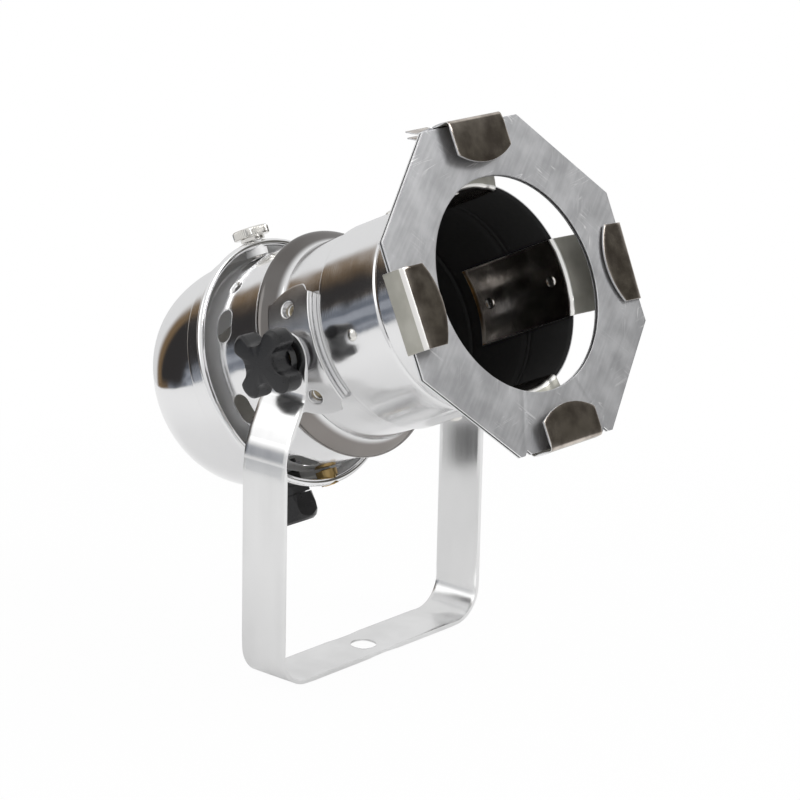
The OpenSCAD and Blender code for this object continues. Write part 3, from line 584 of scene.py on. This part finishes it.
def slot_cell(low_angle, wide, hole_s, length, width, rings, lip):
    """Rings between a rectangle on the band and a stadium in its middle, its length round
    the can. The stadium's point in a direction c, d is at width/2 over |d| on its straight
    sides, and h|c| + root of (width/2) squared less (h d) squared on its ends. Near the
    slot the radius drops by lip, as a punched edge does."""
    hole_angle = low_angle + wide/2*turn_step
    angle, s = round_edge(low_angle + np.arange(wide + 1)*turn_step,
                          np.linspace(band_low, band_high, band_rows + 1))
    x, y = (angle - hole_angle)*rear_r, s - hole_s
    far = np.hypot(x, y)
    c, d = x/far, y/far
    half, r = (length - width)/2, width/2
    straight = r/np.maximum(np.abs(d), 1e-9)
    round_end = half*np.abs(c) + np.sqrt(np.maximum(r*r - (half*d)**2, 0))
    near = np.where(straight*np.abs(c) <= half, straight, round_end)
    t = (np.linspace(0, 1, rings + 1)**ring_power)[:, None]
    reach = near + (far - near)*t
    radius = rear_r - lip*np.exp((near - reach)/lip_fade)*(1 - t)
    return body_skin(hole_angle + reach*c/rear_r, hole_s + reach*d, radius)


# %% The can, as one sheet
can = Skin()
behind = runs(-rear_s, (0.3 - rear_s, 1), (-36, 3), (band_low, 3))
ahead = runs(band_high, (-14.4, 8), (-bead_s, 12), (-4.5, 16), (step_s - 1.5, 10),
             (step_s - step_run, 2), (step_s, 9), (20, 7), (30, 14), (ring_s - 1, 6),
             (ring_s + 1, 10), (47, 7), (mouth_s - 0.3, 14), (mouth_s, 1))
for part in (behind, ahead):
    can.grid(body_skin(first_angle + even_angles, part[:, None], body_radius(part)[:, None]),
             closed=True)
for k in range(vents):
    low = first_angle + k*sector_columns*turn_step
    can.grid(slot_cell(low, vent_columns, -vent_s, vent_l, vent_w, 9, 0.05), closed=True)
    low += vent_columns*turn_step
    wide = sector_columns - vent_columns
    if k % 2:
        can.grid(slot_cell(low, wide, dimple_s, 2*dimple_hole_r, 2*dimple_hole_r, 14, 0.1),
                 closed=True)
    else:
        over = low + np.arange(wide + 1)*turn_step
        up = np.linspace(band_low, band_high, band_rows + 1)
        can.grid(body_skin(over, up[:, None], rear_r))
piece("can_shell", can, [polished_body, inside_black, cut_edge], "can", ["can_body"],
      from_axis, sheet=wall, offset=-1, inside=1, edge=2)

# %% [markdown]
# ## The rear cap
# The cap is a deep spun bowl with a fine step and an edge rolled round a wire. A turned
# profile does it in one go: from the middle of the end over the shoulder to the roll,
# round the roll, and back along the inside.

# %% Outline of the cap
fullness, end_inset = 0.9, 0.4


def bowl(off):
    """Bowl outline less an inset: cos and sin to the power fullness give a shoulder that is
    fuller than an ellipse, then the end crowns gently to the axis. Along the shoulder the
    inset shrinks to the share end_inset."""
    a = np.linspace(0, pi/2, 40)
    share = a/(pi/2)
    r = end_r + (bowl_r - end_r)*np.cos(a)**fullness - off*(1 - (1 - end_inset)*share)
    s = -cap_step_s - (bowl_s - cap_step_s)*np.sin(a)**fullness + off*share**2
    t = np.linspace(0, 1, 14)[1:]
    flat_r = (end_r - off*end_inset)*(1 - t)
    flat_s = -bowl_s - end_crown*(1 - (1 - t)**2) + off
    return np.stack([np.append(r, flat_r), np.append(s, flat_s)], 1)


skirt_r, roll_s = cap_in_r + wall, -rim_s - 2*roll_r
neck = rounded([[skirt_r + 0.35, roll_s + 0.35], [skirt_r - 0.12, roll_s - 0.6],
                [skirt_r - 0.3, 1.3 - cap_step_s], [bowl_r + 0.35, -cap_step_s - 0.1]],
               [0.6, 0.8])
round_wire = np.radians(np.linspace(-60, 180, 26))
roll = np.stack([rim_r - roll_r + roll_r*np.cos(round_wire),
                 -rim_s - roll_r + roll_r*np.sin(round_wire)], 1)
outside = join([bowl(0)[::-1], dense(neck, 1.2)[::-1], roll])
inner = join([roll[-1:], [[cap_in_r, roll_s - 0.2*roll_r],
                                    [cap_in_r - 0.2, 1 - cap_step_s]],
                        bowl(wall)[::3], bowl(wall)[-1:]])
cap = Skin()
for mark, outline in enumerate((outside, inner)):
    cap.grid(round_can(even_angles, outline[:, :1], outline[:, 1:]), closed=True, mark=mark)
piece("rear_bowl", cap, [polished_cap, inside_cap], "cap", ["rear_cap"],
      sharp=55)

# %% [markdown]
# ## The frame clips
# Each clip is a strip of plated sheet. Its tab lies curved against the inside of the tube,
# its arm stands up over the rim, and its wall and lip hold the gel frame. The strip is a
# path carried across its width. The tab's curve fades out up the arm, and the lip ends in
# an arc, both as functions of the place across the strip.

# %% A strip bent along a path
fade_r, bend_drop = 45, 0.6
press_share, press_back, press_wide, press_area, press_deep, press_from = 0.32, 0.3, 1.1, 3, 0.4, 5


def strip(path, across, angle, lip_end=None):
    """Path points (s, height) carried across x, and turned to an angle on the can.
    The tab follows the tube: height falls by R - root(R squared - x squared), and that
    fades out between the tube and fade_r. With lip_end, rows past the last bend end on an
    arc that rises lip_arc from the middle of the strip to its corners. Two press marks lie
    at the foot of the arm."""
    s, y = path[:, :1], path[:, 1:] + 0*across
    x = across
    fall = np.sqrt(tab_mid_r**2 - x*x) - tab_mid_r
    y = y + fall*(1 - smooth((path[:, 1:] - tab_mid_r)/(fade_r - tab_mid_r)))
    if lip_end is not None:
        bend_y = wall_in - bend_drop
        arc_r = ((clip_w/2)**2 + lip_arc**2)/(2*lip_arc)
        end = lip_end + arc_r - np.sqrt(arc_r**2 - x*x)
        t = (bend_y - path[:, 1:])/(bend_y - lip_end)
        on_lip = (path[:, :1] > lip_s - clip_t) & (t > 0)
        y = np.where(on_lip, bend_y - t*(bend_y - end), y)
    for spot in (-press_share*clip_w, press_share*clip_w):
        far = ((s - arm_root_s + press_back)**2 + (y - tab_mid_r)**2)/press_area
        press = press_deep*np.exp(-((x - spot)/press_wide)**2 - far)
        press = press*(path[:, :1] > arm_root_s - press_from)
        s, y = s + press, y - press
    a, b = spun(x, y, -angle)
    return on_can(a, s, b)


tab_start, tab_end = arm_root_s - tab_l, [arm_root_s + 0.25, tab_mid_r]
wall_mid, lip_mid = wall_in + clip_t/2, lip_s - clip_t/2
tab_bend, wall_bend, lip_bend, path_gap = 1.3, 1.2, 1.1, 2.2
tab_short, bend_high, lip_short = 0.8, 1.6, 0.3
clip_path = dense(rounded(
    [[tab_start, tab_mid_r], tab_end, [arm_root_s + arm_lean + 0.1, wall_mid],
     [lip_mid, wall_mid], [lip_mid, wall_in - lip_reach]],
    [tab_bend, wall_bend, lip_bend]), path_gap)


def clip_marks(path, beside_lip=1):
    """The finish of each row of faces: 1 on the tab and the lip, 2, the painted highlight, on the
    bend above the tab, beside_lip on the bend beside the lip and 0 on the arm and the wall."""
    s, y = (path[1:] + path[:-1]).T/2
    return np.select([s < arm_root_s - tab_short, y < tab_mid_r + bend_high,
                      (s > lip_mid - lip_bend) & (y > wall_mid - lip_bend),
                      s > lip_mid - lip_short], [1, 2, beside_lip, 1], 0)


def clip_piece(name, skin, body, nodes, facing, sheet=clip_t, bevel=0.1):
    """A piece of plated clip sheet with cut edges."""
    piece(name, skin, clip_finishes, body, nodes, facing, sheet=sheet, edge=3,
          bevel=bevel)


across, right_shorter = np.linspace(-clip_w/2, clip_w/2, 31), 1.6
# On the left clip the bend beside the lip also gets the painted highlight, finish 2.
for name, angle in zip(("clip_right", "clip_bottom", "clip_left"), clip_angles[1:]):
    lip_end = wall_in - lip_reach + (right_shorter if name == "clip_right" else 0)
    skin = Skin().grid(strip(clip_path, across, angle, lip_end),
                       mark=clip_marks(clip_path, 2 if name == "clip_left" else 1))
    clip_piece(name + "_sheet", skin, "can", [name], from_axis, bevel=0.12)

# %% [markdown]
# ### The top clip and its hinged catch
# On top the wall and lip are a catch of their own, rolled round a pin that sits in the
# fixed arm's knuckle. A finger tab of two thin leaves is drawn back from it on one side.

# %% Top clip
finger_end, roll_mid = -clip_w/2 + tab_w, knuckle_r - roll_t/2
arm_split = finger_end + free_gap
across_right = np.linspace(arm_split, clip_w/2, 19)
arm_top = np.array([pin_s - knuckle_r + roll_t/2 - 0.1, pin_y - 0.6])
foot = rounded([[tab_start, tab_mid_r], tab_end, arm_top], [tab_bend])
bend_end, tab_floor = foot[-2], pin_y - tab_reach - 2.2
share = (tab_floor - bend_end[1])/(arm_top[1] - bend_end[1])
floor_point = bend_end + (arm_top - bend_end)*share
low_arm = dense(join([foot[:-1], [floor_point]]), path_gap)


def rolled(start, end):
    """The middle of a sheet rolled round the pin from one angle to another, in degrees."""
    curl = np.radians(np.linspace(start, end, 26))
    return np.stack([pin_s + roll_mid*np.cos(curl), pin_y + roll_mid*np.sin(curl)], 1)


high_arm = dense(join([[floor_point], rolled(200, -95)]), path_gap)
top = Skin()
for part in (np.linspace(-clip_w/2, arm_split, 13), across_right):
    top.grid(strip(low_arm, part, 0), mark=clip_marks(low_arm))
top.grid(strip(high_arm, across_right, 0))
clip_piece("clip_top_sheet", top, "can", ["clip_top"], from_axis)

# %% Catch with its knuckle and two leaves
catch_back, catch_end = [pin_s + knuckle_r + 0.15, wall_mid], wall_in - catch_reach
catch_path = dense(rounded([catch_back, [lip_mid, wall_mid], [lip_mid, catch_end]], [lip_bend]),
                   path_gap)
finger = np.linspace(-clip_w/2, finger_end, 13)
catch = Skin()
for part in (finger, np.linspace(finger_end, clip_w/2, 19)):
    catch.grid(strip(catch_path, part, 0, catch_end), mark=clip_marks(catch_path))
catch.grid(strip(join([[catch_back], rolled(90, 385)]), finger, 0))
clip_piece("catch_sheet", catch, "catch", ["frame_catch"], along(0, 0, 1))
leaf_top, leaf_low = pin_y + knuckle_r, pin_y + knuckle_r - 0.4
leaf_path = dense(rounded([[pin_s - 0.2, leaf_top - leaf_t/2], [pin_s - tab_reach*0.6, leaf_low],
                           [pin_s - tab_reach, leaf_low + leaf_rise]], [5]), 1.0)
leaves = Skin()
for drop in (0, leaf_gap):
    leaves.grid(strip(leaf_path - [0, drop], finger, 0), mark=1)
clip_piece("catch_leaves", leaves, "catch", [], along(0, 0, 1), leaf_t, 0.08)

# %% [markdown]
# ## The gel frame
# The gel frame is one thin sheet, folded along its bottom edge round the gel: two
# octagons with a round window and a gap between them. Each layer is a set of rings that
# change from the window's circle to the octagon, with the two relief notches cut in.

# %% Outline of the octagon and one layer
def octagon(angle):
    """Distance from the middle to the octagon: half the width over the cosine of the angle
    to the nearest flat's middle."""
    local = (angle + pi/8) % (pi/4) - pi/8
    return frame_half/np.cos(local)


def hung(x, y, s):
    """The loose frame's place: swung about b, leaned about s and dropped in its clips."""
    x, z = spun(x, s - frame_mid_s, frame_swing)
    x, y = spun(x, y, -frame_lean)
    return on_can(x, z + frame_mid_s, y - frame_drop)


notch_half, plan_steps, notch_clear, fold_bulge = notch/sqrt(2), 320, 0.009, 0.25
notch_x = np.array([n*fold_half + d for n in (-1, 1) for d in (-notch_half, 0, notch_half)])
notch_angle = np.arctan2(notch_x, -frame_half) % (2*pi)
even_angle = np.arange(plan_steps)*2*pi/plan_steps
clear = np.abs(even_angle[:, None] - notch_angle).min(1) > notch_clear
plan_angle = np.sort(join([even_angle[clear], notch_angle]))
edge_r = octagon(plan_angle)
edge_x, edge_y = edge_r*np.sin(plan_angle), edge_r*np.cos(plan_angle)
bite = np.maximum(0, notch_half - np.abs(np.abs(edge_x) - fold_half))
t = np.array([0, 0.02, 0.25, 0.5, 0.75, 0.975, 1])[:, None]
plan_x = aperture_r*np.sin(plan_angle)*(1 - t) + edge_x*t
plan_y = aperture_r*np.cos(plan_angle)*(1 - t) + edge_y*t
plan_y[-2:] += np.where(edge_y < -frame_half + 0.01, bite, 0)
layers = Skin()
for s in (frame_s - frame_t/2, frame_back_s + frame_t/2):
    layers.grid(hung(plan_x, plan_y, s), closed=True)
fold_end, fold_r = fold_half - notch*0.8, (frame_s - frame_back_s - frame_t)/2
bend = np.linspace(-pi/2, pi/2, 9)[:, None]
fold_y = frame_t/2 - frame_half + fold_bulge*(1 - np.cos(bend))
fold_x = np.linspace(-fold_end, fold_end, 9)
layers.grid(hung(fold_x, fold_y, frame_mid_s + fold_r*np.sin(bend)))
piece("gel_frame_sheet", layers, [brushed_sheet, cut_edge], "can", ["gel_frame"],
      along(*can_axis), sheet=frame_t, edge=1, bevel=0.1, even=False)

# %% [markdown]
# ## The yoke
# The yoke is flat bar, bent to a U whose arms lean in to the can and end in a half round.
# It could be two bars and a bend each; it is made as it was bent, one flat strip laid along
# its centre line. The rows of the round ends get shorter as a circle does, and the strip
# flows round the hanging hole in rings.

# %% Bar laid along its line
joggle_low_r, joggle_high_r, hole_box, tip_steps = 16, 6, 9.0, 20
arm_mid_x, side_mid_x = outer_arm_x - bar_t/2, yoke_w/2 - bar_t/2
line = dense(rounded([[0, bar_t/2], [side_mid_x, bar_t/2], [side_mid_x, joggle_z],
                      [arm_mid_x, joggle_z + joggle_h], [arm_mid_x, pivot_h]],
                     [bend_r - bar_t/2, joggle_low_r, joggle_high_r], 14), 3.0)
past = np.argmax(line[:, 0] > hole_box + 0.2)
tip = np.linspace(0, pi/2, tip_steps)[1:, None]
tip_line = join([arm_mid_x + 0*tip, pivot_h + bar_w/2*np.sin(tip)], 1)
half_width = join([np.ones((len(line) - past + 1, 1)), np.cos(tip)])*bar_w/2
line = join([[[hole_box, bar_t/2]], line[past:], tip_line])
v = np.linspace(-1, 1, 13)
yoke = Skin()
for side in (-1, 1):
    yoke.grid(metres(side*line[:, :1], half_width*v, line[:, 1:]))
box_x, box_y = round_edge(hole_box*v, bar_w/2*v)
far = np.hypot(box_x, box_y)
reach = hang_r + (far - hang_r)*np.linspace(0, 1, 6)[:, None]
yoke.grid(metres(reach*box_x/far, reach*box_y/far, bar_t/2), closed=True)
middle = np.array([0, 0, 0.06])
piece("yoke_bar", yoke, [satin_bar], "yoke", ["yoke"],
      lambda points: points - middle, sheet=bar_t, bevel=0.4)

# %% [markdown]
# ## The side brackets
# A bracket is a curved plate that stands off the neck, flanged down to it in front. Two
# rivets hold it, each in a deep pressed cup. The cups are rings again, so that their steep
# walls stay round, and the plate's round ends come from the width of each row.

# %% Bracket plate with its cups
cup_half_angle, cup_half_s, cup_deep, cup_rim, flat_rings = radians(5.4), 3.4, 2.5, 0.5, 5
plate_rows, cup_rows, lean_out = 9, 12, 0.55
arc_s, tip_cut, cut_from_s, cut_run = 5.0, 2.2, 8.0, 2.6


def bracket_skin(side):
    """Rows along s, columns up the plate on one side, -1 on the left; fixed columns and
    rows meet the rectangles of the cups."""
    skin = Skin()

    def add(beta, s, depth=0, closed=False):
        """A grid of the plate at angles from the pivot, depth under its outside."""
        radius = plate_r - depth
        skin.grid(on_can(side*radius*np.cos(beta), s, radius*np.sin(beta)), closed)

    inner_edge, outer_edge = rivet_angle - cup_half_angle, rivet_angle + cup_half_angle
    s_rows = runs(-plate_rear_s, (plate_mid_s - cup_half_s, plate_rows),
                  (plate_mid_s + cup_half_s, cup_rows), (plate_front_s, plate_rows))
    cup_s = s_rows[plate_rows:-plate_rows]
    high = np.sqrt(plate_half**2 - (s_rows - arc_s)**2)
    high -= tip_cut*smooth((s_rows - cut_from_s)/cut_run)
    top = np.arcsin(np.maximum(high, plate_r*sin(outer_edge) + 0.2)/plate_r)[:, None]
    ends = outer_edge + (top - outer_edge)*np.linspace(0, 1, 7)
    mid = np.linspace(-inner_edge, inner_edge, 25)
    beside = np.linspace(inner_edge, outer_edge, 13)
    add(mid, s_rows[:, None])
    angle, s = round_edge(beside, cup_s)
    x, y = (angle - rivet_angle)*plate_r, s - plate_mid_s
    far = np.hypot(x, y)
    rim = cup_r + cup_rim
    cup = rounded([[rim, 0], [cup_r - 0.1, 0.05], [cup_r - 0.55, cup_deep - 0.05],
                   [0.05, cup_deep]], [0.45, 0.5], 5)[1:]
    share = np.append(np.linspace(1, 0, flat_rings), 0*cup[:, 0])[:, None]
    rings = np.append(np.full(flat_rings, rim), cup[:, 0])[:, None]
    reach = rings + (far - rings)*share
    depths = np.append(np.zeros(flat_rings), cup[:, 1])[:, None]
    for up in (-1, 1):
        add(up*ends, s_rows[:, None])
        for rows in (s_rows[:plate_rows + 1], s_rows[-plate_rows - 1:]):
            add(up*beside, rows[:, None])
        add(up*(rivet_angle + reach*x/far/plate_r), plate_mid_s + reach*y/far, depths, True)
    flange = rounded([[0, 0], [lean_out, 0], [lean_out, plate_r - neck_r - 0.1]], [0.5], 5)
    half_plate = join([mid[len(mid)//2:], beside[1:], ends[-1, 1:]])
    add(np.append(-half_plate[:0:-1], half_plate), plate_front_s + flange[:, :1], flange[:, 1:])
    return skin


for name, side in (("bracket_left", -1), ("bracket_right", 1)):
    piece(name + "_plate", bracket_skin(side), [bracket_satin, cut_edge], "can", [name],
          along(side, 0, 0), sheet=plate_t*0.6, offset=-1, edge=1,
          bevel=0.15, sharp=50)

# %% [markdown]
# ## Turned pieces: rivets, screws and knobs
# These are profiles turned round an axis. Knurls and lobes multiply the radius by a
# function of the angle, so that one turned surface gives a knurled head or a star knob.

# %% Rivets of the clips and brackets
def dome(radius, height, base):
    """A rivet head: a short straight side, a round shoulder and a low crown."""
    a = np.linspace(0, pi/2, 12)[:, None]
    crown = join([radius*np.cos(a), base + 0.1*height + 0.9*height*np.sin(a)], 1)
    return join([[[0, base - 0.3]], [[radius*0.98, base - 0.3]], crown])


heads = Skin()
for angle in clip_angles:
    for s in (rivet_rear_s, rivet_front_s):
        inner_head = dome(1.9, 0.7, 0)*[1, -1] + [0, tab_mid_r - clip_t/2]
        for line, steps in ((dome(2.0, 1.25, tube_r - 0.4), 32), (inner_head, 24)):
            heads.turn(line, radial(angle, s), steps)
piece("clip_rivet_heads", heads, [bright_nickel], "can", ["clip_rivets"])
heads = Skin()
for side in (-1, 1):
    for up in (-1, 1):
        place = radial(side*(pi/2 + up*rivet_angle), plate_mid_s)
        heads.turn(dome(2.0, 0.9, neck_r + 0.8), place, 32)
piece("bracket_rivet_heads", heads, [dull_rivet], "can", ["bracket_rivets"])

# %% Knurled thumbscrew
base, knurl_deep, tiny = rim_r + 0.1, 0.2, 0.02
head_base, head_top = base + collar_h, base + collar_h + head_h
screw_line = dense(rounded(
    [[thread_r, rear_r + 0.2], [thread_r, base], [collar_r, base], [collar_r, head_base],
     [head_r - 0.1, head_base], [head_r, head_base + 0.6], [head_r, head_top - 0.5],
     [head_r - 0.5, head_top], [tiny, head_top]], [0.1, 0.25, 0.3, 0.2, 0.3, 0.3, 0.3], 4), 0.8)


def knurled(radius, angle):
    """The head's side is cut by V grooves: the radius falls by up to knurl_deep."""
    height = screw_line[:, 1:]
    groove = np.abs((angle*knurls/(2*pi)) % 1 - 0.5)*2
    side = (radius > head_r - 0.35) & (height > head_base + 0.15) & (height < head_top - 0.1)
    return np.where(side, radius - knurl_deep*(1 - groove), radius + 0*angle)


screw = Skin().turn(screw_line, radial(0, -screw_s), knurls*6, knurled)
piece("thumbscrew_turned", screw, [bright_nickel], "top_screw", ["thumbscrew"],
      sharp=30)

# %% Brass stud under the rim
stud_foot, stud_end, stud_edge = rear_r + 0.4, rim_r + 0.2, 0.3
stud_line = rounded([[tiny, stud_foot], [thread_r - stud_edge, stud_foot],
                     [thread_r, stud_foot + 0.4], [thread_r, stud_end - stud_edge],
                     [thread_r - stud_edge, stud_end], [tiny, stud_end]], [0.1]*4, 3)
stud = Skin().turn(stud_line, radial(pi, -screw_s), 32)
piece("lower_stud", stud, [plain_brass], "bottom_screw", ["lower_screw"])


# %% Star knobs
lobe_at, lobe_r, hollow_at, hollow_r, blur = 0.68, 0.32, 0.86, 0.38, 9
knob_turn, star_middle = radians(7), knob_r*0.45


def lobes(angle):
    """Outline of the knob as a share of its radius: the far side of a lobe circle, cut by
    the near side of a hollow circle, then softened by a short running mean."""
    fine = np.arange(1440)*2*pi/1440
    lobe = fine % (pi/2) - pi/4
    hollow = (fine + pi/4) % (pi/2) - pi/4
    beside = hollow_at*np.sin(hollow)
    out = lobe_at*np.cos(lobe) + np.sqrt(np.maximum(lobe_r**2 - (lobe_at*np.sin(lobe))**2, 0))
    cut = hollow_at*np.cos(hollow) - np.sqrt(np.maximum(hollow_r**2 - beside**2, 0))
    share = np.where(np.abs(beside) < hollow_r, np.minimum(out, cut), out)
    padded = join([share[-blur:], share, share[:blur]])
    soft = np.convolve(padded, np.ones(2*blur + 1)/(2*blur + 1), "same")[blur:-blur]
    return np.interp(angle % (2*pi), np.append(fine, 2*pi), np.append(soft, soft[0]))


def star_radius(radius, angle):
    """Round in the middle; beyond it the radius runs out to the outline of the lobes."""
    middle = np.minimum(radius, star_middle)
    lobe = np.maximum(lobes(angle + knob_turn)*knob_r - middle, 0)
    return middle + (radius - middle)*lobe/(knob_r - middle)


def knob_skin(side):
    """Hub, then the lobes: rows run out over the back, up the side and in over the face."""
    place, star_x, face_x = radial(side*pi/2, 0), knob_x + hub_h, knob_x + hub_h + knob_h
    hub = rounded([[3.0, knob_x], [hub_r, knob_x], [hub_r + 0.7, star_x + 0.4]], [0.5], 4)
    star = rounded([[0.3, star_x], [0.97, star_x], [1.0, star_x + 1.2], [1.0, face_x - 1.8],
                    [0.9, face_x - 0.35], [0.0, face_x]], [0.01, 0.25, 0.3, 0.3], 4)
    face = [[star_middle, face_x - 0.08], [knob_r*0.2, face_x - 0.02], [0.01, face_x]]
    rows = join([star[:-1]*[knob_r, 1], face])
    return Skin().turn(hub, place, 64).turn(rows, place, 288, star_radius)


for side, name, body in ((-1, "knob_left", "knob_l"), (1, "knob_right", "knob_r")):
    piece(name + "_star", knob_skin(side), [black_plastic], body, [name],
          sharp=32)

# %% [markdown]
# ## The small pieces that keep their CAD shape
# Bolts, washers, bushes, the cable gland and the lamp holder are small or hidden, and
# their solids already have the right form. They keep it and get a finish.

# %% Finishes of the kept nodes
kept = {
    zinc_plate: ["pivot_bolt_left", "pivot_bolt_right", "pivot_spacers", "pivot_washers",
                 "catch_pin", "gland_locknut", "holder_strap", "holder_screws", "strap_rivets"],
    plain_brass: ["knob_insert_left", "knob_insert_right", "holder_contact", "terminal_screws"],
    aged_brass: ["lower_bush", "holder_shell"],
    inside_cap: ["screw_bush"],
    black_plastic: ["gland_body", "gland_nut"],
    seal_rubber: ["gland_seal"],
    white_ceramic: ["lamp_holder"],
}
for material, names in kept.items():
    for name in names:
        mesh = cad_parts[name].data
        if not mesh.materials:
            mesh.materials.append(material)
        for place_index in range(len(mesh.materials)):
            mesh.materials[place_index] = material
print("kept", sum(len(names) for names in kept.values()), "nodes")

# %% [markdown]
# ## Studio
# Polished metal shows the room, so the room is the finish: a pale one with soft cards. A
# bright card hangs high behind on the left, below it a dark stand with tan edges and a patchy
# grey card, and an olive card in front on the right. They could be planes, but as soft
# windows of direction in the world they cast no shadow. A camera ray sees plain white.

# %% World
scene.world = bpy.data.worlds.new("studio")
sky = Tree(scene.world)
direction = sky.node("TexCoord", out=0)
x, y, z = (sky.node("SeparateXYZ", [direction], axis) for axis in range(3))
around = x.math("ARCTAN2", x, y)*(180/pi)
height = z.math("ARCSINE", z)*(180/pi)


def hang(room, colour, sides, ends, soft, share=1.0):
    """The room with a soft card hung in it. sides are its left and right in degrees from
    the rear towards the right, ends its low and high edge, soft the fade of each pair."""
    mask = around.window(*sides, soft[0])*height.window(*ends, soft[1])
    return sky.mix(mask*share, room, colour)


room = sky.mix(height.step(-60, 60), (0.66, 0.66, 0.665, 1), grey(0.84))
room = hang(room, grey(1.55), (-78, -38), (14, 64), (5, 5))
room = hang(room, (0.17, 0.115, 0.065, 1), (-38, 4), (-22, 24), (5, 4))
patches = sky.node("TexNoise", {"Vector": direction, "Scale": 14.0, "Detail": 2.0})
slant = height + (around + 50)*0.6
card_mask = around.window(-51, -20, 1.5)*slant.step(-17, -13)*(1 - height.step(6, 10))
card = sky.mix(patches.step(0.4, 0.66), (0.13, 0.145, 0.175, 1), (0.34, 0.36, 0.40, 1))
room = sky.mix(card_mask, room, card)
room = hang(room, (0.032, 0.030, 0.030, 1), (-36, -7), (-14, 19), (3, 4))
room = hang(room, (0.05, 0.045, 0.033, 1), (108, 148), (0, 38), (8, 8), 0.95)
seen, lit = (sky.node("Background", (colour, 1.0))
             for colour in (grey(1.0), room))
camera_ray = sky.node("LightPath")
sky.end(sky.node("MixShader", (camera_ray, lit, seen)),
        "OutputWorld")

# %% [markdown]
# The floor is a pale table top. To the camera it is nearly all an even glow, which reaches
# full white at its border and so melts into the room. The small share that is lit carries
# the soft shadow of one big lamp.

# %% Floor and lamp
table, floor_z, glow_share = 0.34, -0.0006, 0.97
tree = new_finish("floor_white")
far = tree.node("VectorMath", [tree.place()], 1, operation="LENGTH")
camera_ray, glossy_ray = (tree.node("LightPath", out=name)
                          for name in ("Is Camera Ray", "Is Glossy Ray"))
share = camera_ray*(glow_share + (1 - glow_share)*far.step(0.2, 0.32)) + glossy_ray*0.25
glow = tree.node("Emission", (grey(1.0), 1.0))
bounce = tree.node("BsdfDiffuse", [grey(0.86)])
tree.end(tree.node("MixShader", (share, bounce, glow)))
corners = [(a*table, b*table, floor_z) for a, b in ((-1, -1), (1, -1), (1, 1), (-1, 1))]
floor_mesh = bpy.data.meshes.new("floor")
floor_mesh.from_pydata(corners, [], [(0, 1, 2, 3)])
floor_mesh.materials.append(tree.owner)
floor = placed("floor", floor_mesh)

lamp_data = bpy.data.lights.new("softbox", "AREA")
lamp_data.size, lamp_data.energy = 0.5, 4.5
lamp = placed("softbox", lamp_data)
lamp_at = Vector((0.45, -0.75, 0.95))
aim = (Vector((0, 0, pivot_h*MM)) - lamp_at).to_track_quat("-Z", "Y")
lamp.matrix_world = Matrix.Translation(lamp_at) @ aim.to_matrix().to_4x4()

# %% [markdown]
# ## Camera
# The camera's place, turn and lens were worked out from points of the photograph whose
# places on the object are known: a long lens, a little above the can, from its left front.

# %% Camera
camera_at, spin = Vector((-0.6934, -0.6090, 0.3519)), Vector((1.7326, -0.773, 0.6097))
focal_px, picture_px, sensor = 2991.3, 800, 36
camera_data = bpy.data.cameras.new("camera")
camera = placed("camera", camera_data)
rows = Matrix.Rotation(spin.length, 3, spin.normalized())
turn = Matrix((rows[0], -rows[1], -rows[2])).transposed()
camera.matrix_world = Matrix.Translation(camera_at) @ turn.to_4x4()
camera_data.sensor_width, camera_data.clip_end = sensor, 20
camera_data.lens = focal_px/picture_px*sensor
scene.camera = camera
print("lens", round(camera_data.lens, 1))
